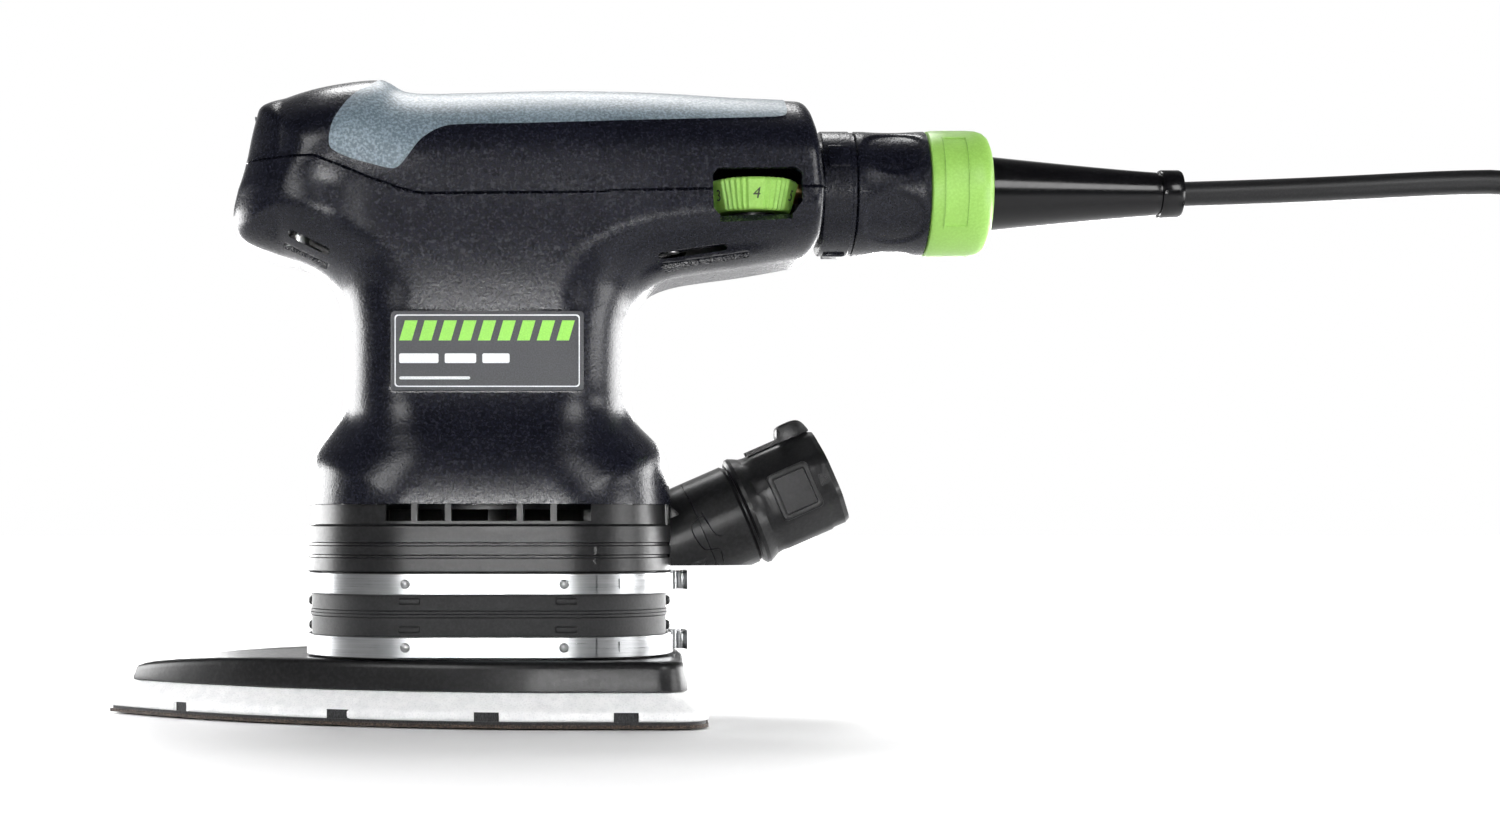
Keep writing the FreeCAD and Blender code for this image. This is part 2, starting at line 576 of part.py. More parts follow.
def build_stator():
    ring = cylinder("stator_ring", "stator_outer", "core_high - core_low", (0, 0, "core_low"))
    bore = cylinder("stator_hole", "stator_bore", 60, (0, 0, 50))
    pockets = []
    for number, sign in enumerate((1, -1)):
        pockets.append(block(f"coil_pocket_{number}", (-13, min(sign * 10, sign * 25), 50),
                             (13, max(sign * 10, sign * 25), 110)))
    node(cut("stator", ring, bore, *pockets), "stator_core")
    annulus = tube("coil_annulus", 24.8, "stator_bore + 0.8", "winding_high - winding_low",
                   (0, 0, "winding_low"))
    sides = doc.addObject("Part::Common", "coil_sides")
    sides.Base = annulus
    sides.Tool = group("coil_spaces", [block(f"coil_space_{number}", (-12.8, low, 50), (12.8, high, 110))
                                       for number, (low, high) in enumerate(((10.2, 25), (-25, -10.2)))])
    ends = [tube(f"coil_end_{number}", 25.5, "stator_bore + 0.8", height, (0, 0, low))
            for number, (low, height) in enumerate((("winding_low", "core_low - winding_low - 0.2"),
                                                    ("core_high + 0.2", "winding_high - core_high - 0.2")))]
    node(join("stator_coils", [sides] + ends), "stator_windings")


def build_rotor():
    node(cylinder("shaft", "shaft_radius", "shaft_high - shaft_low", (0, 0, "shaft_low")), "motor_shaft")
    slots = 10
    core = tube("armature_blank", "armature_radius", "shaft_radius", "core_high - core_low",
                (0, 0, "core_low"))
    tools, bars = [], []
    for number in range(slots):
        degrees = 360 * number / slots
        turn = (0, 0, 1, degrees)
        angle = math.radians(degrees)
        offset = (11 * math.cos(angle) + 1.5 * math.sin(angle), 11 * math.sin(angle) - 1.5 * math.cos(angle))
        inner = (11.2 * math.cos(angle) + 1.3 * math.sin(angle),
                 11.2 * math.sin(angle) - 1.3 * math.cos(angle))
        tools.append(primitive("Box", f"armature_slot_{number}", (*offset, 60), turn,
                               Length=9, Width=3, Height=40))
        bars.append(primitive("Box", f"winding_bar_{number}", (*inner, "winding_low"), turn,
                              Length=5.6, Width=2.6, Height="winding_high - winding_low"))
    node(cut("armature", core, *tools), "armature_core")
    ends = [tube(f"winding_end_{number}", 16.5, 6, height, (0, 0, low))
            for number, (low, height) in enumerate((("winding_low", "core_low - winding_low"),
                                                    ("core_high", "winding_high - core_high")))]
    node(join("armature_coils", bars + ends), "armature_winding")
    ring = tube("commutator_blank", "commutator_radius", "shaft_radius",
                "commutator_high - commutator_low", (0, 0, "commutator_low"))
    gaps = []
    for number in range(20):
        angle = math.radians(18 * number)
        corner = (10 * math.cos(angle) + 0.2 * math.sin(angle), 10 * math.sin(angle) - 0.2 * math.cos(angle))
        gaps.append(primitive("Box", f"commutator_gap_{number}", (*corner, 97), (0, 0, 1, 18 * number),
                              Length=2, Width=0.4, Height=14))
    node(cut("commutator_ring", ring, *gaps), "commutator")
    build_fan()
    build_eccentric()


def build_fan():
    hub = cylinder("fan_hub", 9, "52 - journal_high", (0, 0, "journal_high"))
    disc = cylinder("fan_disc", "fan_radius", "fan_disc_high - fan_disc_low", (0, 0, "fan_disc_low"))
    blades = []
    for number in range(9):
        degrees = 40 * number
        corner = (9 * math.cos(math.radians(degrees + 25)), 9 * math.sin(math.radians(degrees + 25)))
        low_corner = (14 * math.cos(math.radians(degrees + 25)), 14 * math.sin(math.radians(degrees + 25)))
        blades.append(primitive("Box", f"dust_blade_{number}", (*low_corner, "journal_high + 1"),
                                (0, 0, 1, degrees), Length=14, Width=1.5,
                                Height="fan_disc_low - journal_high - 0.5"))
        blades.append(primitive("Box", f"cooling_blade_{number}", (*corner, "fan_disc_low + 0.5"),
                                (0, 0, 1, degrees), Length=19, Width=1.3,
                                Height="fan_blades_high - fan_disc_low - 0.5"))
    whole = join("fan_blank", [hub, disc] + blades)
    node(cut("fan_wheel", whole, cylinder("fan_bore", "shaft_radius", 40, (0, 0, 30))), "double_fan")


def build_eccentric():
    flange = cylinder("journal_flange", "journal_radius", "journal_high - journal_low",
                      (0, 0, "journal_low"))
    crank = cylinder("crank_pin", "pin_radius", "journal_low - pin_low", ("orbit_radius", 0, "pin_low"))
    shaft_hole = cylinder("journal_hole", "shaft_radius", 20, (0, 0, "shaft_low"))
    thread = cylinder("journal_thread", 2.5, 9, ("orbit_radius", 0, "pin_low - 1"))
    node(cut("journal", join("journal_blank", [flange, crank]), shaft_hole, thread), "eccentric_journal")
    weight = tube("weight_ring", 26, "journal_radius", 9, (0, 0, 27))
    node(cut("weight", weight, block("weight_trim", (-3, -40, 20), (40, 40, 40))), "counterweight")
    washer = cylinder("washer_disc", 7.6, 1, ("orbit_radius", 0, "pin_low - 1"))
    head = cylinder("retainer_head", 4.4, 3.2, ("orbit_radius", 0, "pin_low - 4.2"))
    shank = cylinder("retainer_shank", 2.5, 7.5, ("orbit_radius", 0, "pin_low - 1"))
    socket = primitive("Prism", "retainer_socket", ("orbit_radius", 0, "pin_low - 5"), Polygon=6,
                       Circumradius=2.3, Height=2.8)
    screw = cut("retainer_screw", join("retainer_blank", [head, shank]), socket)
    node(screw, "bearing_retaining_screw")
    node(cut("retainer_washer", washer, cylinder("washer_hole", 2.5, 3, ("orbit_radius", 0, "pin_low - 2"))),
         "bearing_washer")


def build_brushes():
    holders, brushes, springs = [], [], []
    for number, sign in enumerate((1, -1)):
        def span(low, high):
            return sorted((sign * low, sign * high))
        near, far = span(13, 26.7)
        case = block(f"holder_case_{number}", (-5, near, 98.6), (5, far, 109.4))
        near, far = span(12, 26)
        tunnel = block(f"holder_tunnel_{number}", (-3.3, near, 99.9), (3.3, far, 108.1))
        holders.append(cut(f"brush_holder_{number}", case, tunnel))
        near, far = span(11.05, 21.8)
        brushes.append(block(f"carbon_brush_{number}", (-3.2, near, 100), (3.2, far, 108)))
        coil = tube(f"spring_roll_{number}", 2, 1.4, 5, (-2.5, sign * 23.95, 104), (0, 1, 0, 90))
        springs.append(coil)
    node(group("brush_holder_set", holders), "brush_holders")
    node(group("brush_set", brushes), "carbon_brushes")
    node(group("spring_set", springs), "brush_springs")


# ---------------------------------------------------------------- controls and electrics


def build_controls():
    cone = primitive("Cone", "dial_cone", ("dial_x", "dial_y", "dial_low"), None, Radius1="dial_low_radius",
                     Radius2="dial_radius", Height="dial_high - dial_low")
    hole = cylinder("dial_hole", "dial_shaft_radius", 20, ("dial_x", "dial_y", 118))
    node(cut("dial", cone, hole), "speed_dial")
    node(cylinder("dial_axle", "dial_shaft_radius", "dial_high - 118", ("dial_x", "dial_y", 118)),
         "dial_shaft")
    pot = cylinder("pot_case", 5.8, 5.8, ("dial_x", "dial_y", 117.3))
    pot_hole = cylinder("pot_hole", "dial_shaft_radius + running_gap", 20, ("dial_x", "dial_y", 117.9))
    node(cut("potentiometer", pot, pot_hole), "speed_potentiometer")
    node(block("board", (50, -18.5, 115.6), (69.5, 18.5, 117.2)), "speed_control_board")
    rocker = block("rocker_face", (-59.4, -6.6, "rocker_pivot_z - 4.8"),
                   ("rocker_pivot_x", 6.6, "rocker_pivot_z + 4.8"))
    pivot = cylinder("rocker_pivot", 2.2, 13.2, ("rocker_pivot_x", 6.6, "rocker_pivot_z"), (1, 0, 0, 90))
    lean = block("rocker_lean", (-64, -8, "rocker_pivot_z - 8"), (-58.6, 8, "rocker_pivot_z + 8"))
    trimmed = cut("rocker_trimmed", rocker, block("rocker_relief", (-56.4, -8, "rocker_pivot_z - 8"),
                                                  (-52, 8, "rocker_pivot_z - 2.8")),
                  block("rocker_relief_top", (-56.4, -8, "rocker_pivot_z + 2.8"),
                        (-52, 8, "rocker_pivot_z + 8")), lean)
    node(join("rocker", [trimmed, pivot]), "switch_rocker")
    node(block("switch_case", (-51, -9.5, 137.5), (-37, 9.5, 150.5)), "switch_body")


def axial(name, radius, start, finish):
    """A cylinder along the plug's axis."""
    return cylinder(name, radius, f"({finish}) - ({start})", (start, 0, "plug_z"), (0, 1, 0, RIGHT_ANGLE))


def build_plug():
    inlet = join("inlet_blank", [axial("inlet_flange", 13.5, "79", "inlet_front"),
                                 axial("inlet_ring", "inlet_radius", "inlet_front", "inlet_end")])
    pin_holes = [cylinder(f"inlet_hole_{number}", 1.75, 20, (70, y, "plug_z"), (0, 1, 0, 90))
                 for number, y in enumerate((-5, 5))]
    node(cut("inlet", inlet, axial("inlet_bore", 11.9, "81", "inlet_end + 1"), *pin_holes), "power_inlet")
    pins = [cylinder(f"inlet_pin_{number}", 1.75, 14, (76, y, "plug_z"), (0, 1, 0, 90))
            for number, y in enumerate((-5, 5))]
    node(group("inlet_pin_set", pins), "inlet_pins")
    core = axial("plug_core", "plug_radius", "82", "ring_start")
    ring = axial("plug_ring", "ring_radius", "ring_start", "ring_end")
    root = axial("relief_root_hole", 8, "118", "ring_end + 1")
    contact_holes = [cylinder(f"contact_hole_{number}", 2.3, 13, (81, y, "plug_z"), (0, 1, 0, 90))
                     for number, y in enumerate((-5, 5))]
    node(cut("plug", join("plug_blank", [core, ring]), root, *contact_holes), "plug_body")
    contacts = [tube(f"plug_contact_{number}", 2.25, 1.8, 10, (83, y, "plug_z"), (0, 1, 0, 90))
                for number, y in enumerate((-5, 5))]
    node(group("plug_contact_set", contacts), "plug_contacts")
    node(cut("collar", axial("collar_blank", "collar_radius", "inlet_end + 0.2", "ring_start - 0.2"),
             axial("collar_hole", "collar_bore", "inlet_end", "ring_start")), "locking_collar")
    cone = primitive("Cone", "relief_cone", ("ring_end", 0, "plug_z"), (0, 1, 0, 90),
                     Radius1="relief_start_radius", Radius2="relief_end_radius",
                     Height="relief_end - ring_end")
    bead = axial("relief_bead", "bead_radius", "relief_end", "bead_end")
    stem = axial("relief_root", 8, "118", "ring_end")
    node(join("relief", [stem, cone, bead]), "strain_relief")


# ---------------------------------------------------------------- cords

LEAD = [(175.4, 0, 131), (196, 0, 131.6), (220, 0, 132.7), (244, 0, 134), (264, 0.2, 134.2),
        (279.5, 0.9, 127), (291, 2, 113), (298, 3.4, 95.5), (301.5, 4.9, 75.5), (304, 6.3, 55.5),
        (308.5, 7.5, 36.5), (317.5, 8.4, 20.5), (330.5, 9, 9), (345.5, 9.1, 3.2)]
TAIL = [(335.8, -3.4, 21.7), (354.2, -3.4, 22.0), (370.3, -12.6, 24.2), (379.5, -28.7, 27.9),
        (379.5, -47.1, 30.6), (370.3, -63.2, 33.3), (354.2, -72.4, 35.6), (335.8, -72.4, 37.1)]
MAINS_PLUG = {"length": 40, "half_width": 15, "half_height": 12, "fillet": 7,
              "pin_length": 19, "pin_radius": 2.4, "pin_gap": 19}


def bent_wire(points):
    """Straight runs joined by tangent arcs, and the smallest arc radius."""
    spots = [Vector(*point) for point in points]
    edges, last, radii = [], spots[0], []
    for before, corner, after in zip(spots, spots[1:], spots[2:]):
        inward, outward = (before - corner), (after - corner)
        short = min(inward.Length, outward.Length)
        turn = math.pi - inward.getAngle(outward)
        reach = 0.45 * short
        radii.append(reach / math.tan(turn / 2))
        start = corner + inward.normalize() * reach
        finish = corner + outward.normalize() * reach
        bisector = (inward + outward).normalize()
        to_centre = radii[-1] / math.cos(turn / 2)
        middle = corner + bisector * (to_centre - radii[-1])
        edges.append(Part.LineSegment(last, start).toShape())
        edges.append(Part.Arc(start, middle, finish).toShape())
        last = finish
    edges.append(Part.LineSegment(last, spots[-1]).toShape())
    return Part.Wire(edges), radii


def swept_tube(points, radius):
    path, radii = bent_wire(points)
    start = Vector(*points[0])
    circle = Part.Wire(Part.makeCircle(radius, start, Vector(*points[1]) - start))
    solid = path.makePipeShell([circle], True, True)
    return solid, path.Length, radii


def build_cord():
    radius = size("cord_diameter") / 2
    for name, points in (("cord_lead", LEAD), ("cord_tail", TAIL)):
        solid, length, radii = swept_tube(points, radius)
        print(name, "length", round(length, 1), "volume ratio",
              round(solid.Volume / (math.pi * radius ** 2 * length), 4), "radii",
              [round(value, 1) for value in radii])
        node(feature(f"{name}_tube", solid), name)
    layer = size("cord_diameter")
    inner, outer = size("coil_inner"), size("coil_outer")
    step = inner + 18.8
    profile = [Vector(inner, 0, 0), Vector(outer, 0, 0), Vector(outer, 0, 3 * layer),
               Vector(step, 0, 3 * layer), Vector(step, 0, 4 * layer), Vector(inner, 0, 4 * layer)]
    coil = Part.Face(Part.makePolygon(profile + profile[:1])).revolve(Vector(), Vector(0, 0, 1), 360)
    coil.translate(Vector(size("coil_x"), size("coil_y"), 0))
    node(feature("coil", coil), "cord_coil")


def build_mains_plug():
    """A flat two-pin plug that lies on the coil, its pins pointing to -X."""
    end_x, end_y, end_z = TAIL[-1]
    half_w, half_h = MAINS_PLUG["half_width"], MAINS_PLUG["half_height"]
    length = MAINS_PLUG["length"]
    front = end_x - length
    case = Part.makeBox(length, 2 * half_w, 2 * half_h, Vector(front, end_y - half_w, end_z - half_h))
    long_edges = [edge for edge in case.Edges if abs(edge.tangentAt(0).x) > 0.9]
    case = case.makeFillet(MAINS_PLUG["fillet"], long_edges)
    node(feature("mains_plug_case", case), "mains_plug")
    pins = []
    for sign in (1, -1):
        base = Vector(front, end_y + sign * MAINS_PLUG["pin_gap"] / 2, end_z)
        pin = Part.makeCylinder(MAINS_PLUG["pin_radius"], MAINS_PLUG["pin_length"], base, Vector(-1, 0, 0))
        pins.append(pin)
    node(feature("mains_pin_set", Part.makeCompound(pins)), "mains_plug_pins")


def build_leads():
    leads = []
    for sign in (1, -1):
        route = [(-37, sign * 5, 147), (-27, sign * 9, 147.6), (-19.5, sign * 14.5, 141),
                 (-17, sign * 18.5, 130), (-16.2, sign * 20, 117), (-12.5, sign * 20.4, 107),
                 (-5, sign * 20.6, 103)]
        leads.append(swept_tube(route, 1.2)[0])
    node(feature("motor_lead_set", Part.makeCompound(leads)), "motor_leads")


build_pad()
build_carrier()
for band_name, band_low in (("lower", "lower_band_low"), ("upper", "upper_band_low")):
    build_band(band_name, band_low)
node(plan_rings("sleeve", [("sleeve_outer_inset", "sleeve_inner_inset", "sleeve_low", "sleeve_high")]),
     "rubber_sleeve")
build_fan_housing()
build_dust_port()
build_housing()
build_bearings()
build_supports()
build_stator()
build_rotor()
build_brushes()
build_controls()
build_plug()
build_cord()
build_mains_plug()
build_leads()

doc.recompute()
faults = [item.Name for item in doc.Objects if {"Invalid", "Error"} & set(item.State)]
faults += [item.Label for item in NODES if item.Shape.isNull() or not item.Shape.isValid()]
if faults:
    raise RuntimeError(f"failed objects: {faults}")
os.makedirs("parts", exist_ok=True)
for item in NODES:
    item.Shape.exportStep(f"parts/{item.Label}.step")
print(len(NODES), "nodes written")
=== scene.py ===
import math

import bmesh
import bpy
import numpy as np
import openvdb
from mathutils import Matrix, Vector


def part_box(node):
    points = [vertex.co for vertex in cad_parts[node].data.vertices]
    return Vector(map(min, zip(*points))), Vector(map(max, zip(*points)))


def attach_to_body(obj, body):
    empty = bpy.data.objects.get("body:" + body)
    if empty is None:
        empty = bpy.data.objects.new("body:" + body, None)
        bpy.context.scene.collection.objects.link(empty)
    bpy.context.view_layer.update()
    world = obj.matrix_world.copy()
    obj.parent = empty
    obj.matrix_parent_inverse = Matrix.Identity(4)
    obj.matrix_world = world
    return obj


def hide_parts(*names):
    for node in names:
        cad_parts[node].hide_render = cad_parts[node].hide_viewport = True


# Electric detail sander. Lengths are in millimetres in this script until a mesh or lamp is made.

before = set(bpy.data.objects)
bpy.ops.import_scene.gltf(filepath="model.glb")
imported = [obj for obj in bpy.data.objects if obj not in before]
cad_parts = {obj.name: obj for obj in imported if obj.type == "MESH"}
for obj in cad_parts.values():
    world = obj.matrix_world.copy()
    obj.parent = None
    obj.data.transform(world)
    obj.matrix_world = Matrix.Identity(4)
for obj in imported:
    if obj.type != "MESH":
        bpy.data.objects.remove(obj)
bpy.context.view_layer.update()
MM = 0.001


# ---------------------------------------------------------------- mesh helpers


def low_high(node):
    """A CAD node's lowest and highest corners, in millimetres."""
    low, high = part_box(node)
    return low / MM, high / MM


def make_piece(name, points, faces, look, sharp=35):
    """A mesh object from points in millimetres, smooth except where its faces turn sharply."""
    mesh = bpy.data.meshes.new(name)
    mesh.from_pydata([tuple(float(value) * MM for value in point) for point in points], [],
                     [tuple(int(index) for index in face) for face in faces])
    mesh.update()
    piece = bpy.data.objects.new(name, mesh)
    bpy.context.scene.collection.objects.link(piece)
    finish_mesh(piece, sharp)
    if look:
        mesh.materials.append(LOOKS[look])
    return piece


def finish_mesh(piece, sharp=35):
    mesh = piece.data
    mesh.shade_smooth()
    mesh.set_sharp_from_angle(angle=math.radians(sharp))


def attach(piece, look, body, *nodes):
    """The piece moves with a body and stands for CAD nodes, which are hidden. The look is not used."""
    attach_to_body(piece, body)
    if nodes:
        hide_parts(*nodes)
    return piece


def outward(piece):
    """Turns the faces of a closed mesh outwards."""
    shape = bmesh.new()
    shape.from_mesh(piece.data)
    bmesh.ops.recalc_face_normals(shape, faces=shape.faces)
    shape.to_mesh(piece.data)
    shape.free()
    return piece


def drop(piece):
    mesh = piece.data
    bpy.data.objects.remove(piece)
    bpy.data.meshes.remove(mesh)


def apply_modifiers(piece):
    """Replaces the piece's mesh by what its modifiers make of it."""
    graph = bpy.context.evaluated_depsgraph_get()
    made = bpy.data.meshes.new_from_object(piece.evaluated_get(graph))
    old = piece.data
    piece.modifiers.clear()
    piece.data = made
    bpy.data.meshes.remove(old)


def carve(piece, cutters, operation="DIFFERENCE", sharp=35):
    """A boolean of the piece with each cutter, which is then deleted."""
    for cutter in cutters:
        modifier = piece.modifiers.new("carve", "BOOLEAN")
        modifier.operation = operation
        modifier.solver = "EXACT"
        modifier.object = cutter
    apply_modifiers(piece)
    for cutter in cutters:
        drop(cutter)
    finish_mesh(piece, sharp)
    return piece


def soften(piece, width, segments=2, angle=30, sharp=35):
    """Rounds every sharp edge of a piece."""
    modifier = piece.modifiers.new("soften", "BEVEL")
    modifier.width = width * MM
    modifier.segments = segments
    modifier.angle_limit = math.radians(angle)
    modifier.use_clamp_overlap = True
    apply_modifiers(piece)
    finish_mesh(piece, sharp)
    return piece


def move(piece, matrix):
    piece.data.transform(matrix)
    return piece


def shift(x=0, y=0, z=0):
    """A move by so many millimetres."""
    return Matrix.Translation((x * MM, y * MM, z * MM))


UPRIGHT = Matrix.Rotation(-math.pi / 2, 4, "Y")         # stands a lathed piece up along Z


def span(sign, near, far):
    """Two distances from the middle, on the side of the sign, with the lower first."""
    return sorted((sign * near, sign * far))


def joined(name, pieces, sharp=35):
    """One object that holds every given piece's mesh as it is."""
    shape = bmesh.new()
    looks = []
    for piece in pieces:
        looks += [look for look in piece.data.materials if look not in looks]
    for piece in pieces:
        start = len(shape.faces)
        shape.from_mesh(piece.data)
        shape.faces.ensure_lookup_table()
        slots = [looks.index(look) for look in piece.data.materials]
        for face in shape.faces[start:]:
            face.material_index = slots[face.material_index] if slots else 0
    mesh = bpy.data.meshes.new(name)
    shape.to_mesh(mesh)
    shape.free()
    for look in looks:
        mesh.materials.append(look)
    for piece in pieces:
        drop(piece)
    whole = bpy.data.objects.new(name, mesh)
    bpy.context.scene.collection.objects.link(whole)
    finish_mesh(whole, sharp)
    return whole


def grid_faces(rows, columns, wrap_rows, wrap_columns=True):
    """Quads over a grid of points stored row by row."""
    faces = []
    for row in range(rows if wrap_rows else rows - 1):
        after = (row + 1) % rows
        for column in range(columns if wrap_columns else columns - 1):
            beside = (column + 1) % columns
            faces.append((row * columns + column, row * columns + beside,
                          after * columns + beside, after * columns + column))
    return faces


def loft(name, rings, look, closed=False, sharp=35):
    """Skins rings of equally many points. A closed loft joins its last ring to its first, and an
    open one is capped at both ends."""
    count = len(rings[0])
    points = [point for ring in rings for point in ring]
    faces = grid_faces(len(rings), count, closed)
    if not closed:
        faces.append(tuple(range(count))[::-1])
        faces.append(tuple(range(len(points) - count, len(points))))
    return outward(make_piece(name, points, faces, look, sharp))


def lathe(name, profile, look, closed=False, count=72, radius_at=None, sharp=35):
    """Turns a profile of (radius, distance) about the X axis. radius_at(radius, distance, angle) may
    change the radius around the turn."""
    rings = []
    for radius, distance in profile:
        ring = []
        for step in range(count):
            angle = 2 * math.pi * step / count
            here = radius_at(radius, distance, angle) if radius_at else radius
            ring.append((distance, here * math.cos(angle), here * math.sin(angle)))
        rings.append(ring)
    return loft(name, rings, look, closed, sharp)


def prism(name, outline, low, high, look=None, axis="Y"):
    """An outline of two coordinates drawn out along an axis. Along Y the outline is (x, z), along Z
    it is (x, y), and along X it is (y, z)."""
    place = {"Y": lambda a, b, along: (a, along, b), "Z": lambda a, b, along: (a, b, along),
             "X": lambda a, b, along: (along, a, b)}[axis]
    return loft(name, [[place(a, b, low) for a, b in outline], [place(a, b, high) for a, b in outline]],
                look)


def box(name, low, high, look=None):
    outline = [(low[0], low[1]), (high[0], low[1]), (high[0], high[1]), (low[0], high[1])]
    return prism(name, outline, low[2], high[2], look, "Z")


def rounded_box(name, low, high, radius, look, segments=3):
    return soften(box(name, low, high, look), radius, segments)


def rounded_outline(left, right, bottom, top, radius, steps=6):
    """A rectangle with round corners, as a list of points."""
    outline = []
    for centre_a, centre_b, start in ((right - radius, top - radius, 0), (left + radius, top - radius, 90),
                                      (left + radius, bottom + radius, 180),
                                      (right - radius, bottom + radius, 270)):
        for step in range(steps + 1):
            angle = math.radians(start + 90 * step / steps)
            outline.append((centre_a + radius * math.cos(angle), centre_b + radius * math.sin(angle)))
    return outline


def frame_rings(outside, inside, near, far):
    """Rings of a flat frame between two (x, z) outlines, from y = near to y = far."""
    return [[(x, y, z) for x, z in outline]
            for outline, y in ((outside, near), (outside, far), (inside, far), (inside, near))]


def smooth_line(points, steps, closed=False):
    """A Catmull-Rom curve through the points."""
    points = np.array(points, float)
    count = len(points)
    spans = count if closed else count - 1
    made = []
    for index in range(spans):
        if closed:
            before, start, end, after = (points[(index + shift) % count] for shift in (-1, 0, 1, 2))
        else:
            before, start = points[max(index - 1, 0)], points[index]
            end, after = points[index + 1], points[min(index + 2, count - 1)]
        for step in range(steps):
            t = step / steps
            made.append(0.5 * (2 * start + (end - before) * t
                               + (2 * before - 5 * start + 4 * end - after) * t ** 2
                               + (3 * start - before - 3 * end + after) * t ** 3))
    if not closed:
        made.append(points[-1])
    return np.array(made)


# ---------------------------------------------------------------- materials

LOOKS = {}


class Look:
    """A Principled material whose colour, roughness and relief come from procedural textures.
    Texture scales are features for each millimetre."""

    def __init__(self, name, metallic=0.0, specular=0.5, sheen=0.0):
        self.material = bpy.data.materials.new(name)
        self.material.use_nodes = True
        self.tree = self.material.node_tree
        self.shader = self.tree.nodes["Principled BSDF"]
        self.shader.inputs["Metallic"].default_value = metallic
        self.shader.inputs["Specular IOR Level"].default_value = specular
        self.shader.inputs["Sheen Weight"].default_value = sheen
        self.place = self.tree.nodes.new("ShaderNodeTexCoord").outputs["Object"]
        LOOKS[name] = self.material

    def mapped(self, stretch):
        mapping = self.tree.nodes.new("ShaderNodeMapping")
        mapping.inputs["Scale"].default_value = [1000 * value for value in stretch]
        self.tree.links.new(self.place, mapping.inputs["Vector"])
        return mapping.outputs["Vector"]

    def noise(self, scale, detail=2.0, rough=0.5, stretch=(1, 1, 1)):
        noise = self.tree.nodes.new("ShaderNodeTexNoise")
        noise.inputs["Scale"].default_value = scale
        noise.inputs["Detail"].default_value = detail
        noise.inputs["Roughness"].default_value = rough
        self.tree.links.new(self.mapped(stretch), noise.inputs["Vector"])
        return noise.outputs["Fac"]

    def cells(self, scale):
        cells = self.tree.nodes.new("ShaderNodeTexVoronoi")
        cells.inputs["Scale"].default_value = scale
        self.tree.links.new(self.mapped((1, 1, 1)), cells.inputs["Vector"])
        return cells.outputs["Distance"]

    def ramp(self, source, stops):
        ramp = self.tree.nodes.new("ShaderNodeValToRGB")
        while len(ramp.color_ramp.elements) < len(stops):
            ramp.color_ramp.elements.new(0.5)
        for element, (place, colour) in zip(ramp.color_ramp.elements, stops):
            element.position = place
            element.color = (*colour, 1)
        self.tree.links.new(source, ramp.inputs["Fac"])
        return ramp.outputs["Color"]

    def blend(self, first, second, share, kind="MIX"):
        """Mixes two colour outputs by a share."""
        mix = self.tree.nodes.new("ShaderNodeMix")
        mix.data_type = "RGBA"
        mix.blend_type = kind
        mix.inputs["Factor"].default_value = share
        self.tree.links.new(first, mix.inputs["A"])
        self.tree.links.new(second, mix.inputs["B"])
        return mix.outputs["Result"]

    def colour(self, output):
        self.tree.links.new(output, self.shader.inputs["Base Color"])

    def roughness(self, source, low, high):
        span = self.tree.nodes.new("ShaderNodeMapRange")
        span.inputs["To Min"].default_value = low
        span.inputs["To Max"].default_value = high
        self.tree.links.new(source, span.inputs["Value"])
        self.tree.links.new(span.outputs["Result"], self.shader.inputs["Roughness"])

    def bump(self, *reliefs):
        """Each relief is (height output, strength, height in millimetres)."""
        normal = None
        for height, strength, tall in reliefs:
            bump = self.tree.nodes.new("ShaderNodeBump")
            bump.inputs["Strength"].default_value = strength
            bump.inputs["Distance"].default_value = tall * MM
            self.tree.links.new(height, bump.inputs["Height"])
            if normal:
                self.tree.links.new(normal, bump.inputs["Normal"])
            normal = bump.outputs["Normal"]
        self.tree.links.new(normal, self.shader.inputs["Normal"])


def moulded(name, dark, light, rough, grain, depth, mottle=0.25, specular=0.5):
    """Moulded plastic: a fine spark-eroded grain, faint clouding and uneven gloss."""
    look = Look(name, specular=specular)
    fine = look.noise(grain, 3, 0.6)
    cloud = look.noise(0.05, 4, 0.6)
    specks = look.ramp(fine, [(0.42, dark), (0.64, light)])
    clouds = look.ramp(cloud, [(0.3, [0.75 * value for value in dark]), (0.7, light)])
    look.colour(look.blend(specks, clouds, mottle))
    look.roughness(look.noise(grain * 0.7, 2, 0.5), rough - 0.07, rough + 0.09)
    look.bump((look.noise(grain, 2, 0.55), depth, 0.06), (look.noise(grain * 0.33, 2, 0.5), depth * 0.4, 0.1))


def metal(name, dark, light, rough, streak, spread=0.12, scale=1.0):
    """Metal with fine tool marks along one direction and a few darker smudges."""
    look = Look(name, metallic=1.0)
    lines = look.noise(scale, 4, 0.65, streak)
    smudge = look.noise(0.09, 3, 0.6)
    look.colour(look.blend(look.ramp(lines, [(0.3, dark), (0.7, light)]),
                           look.ramp(smudge, [(0.35, dark), (0.6, light)]), 0.35))
    look.roughness(lines, rough - spread * 0.5, rough + spread)
    look.bump((lines, 0.12, 0.03))


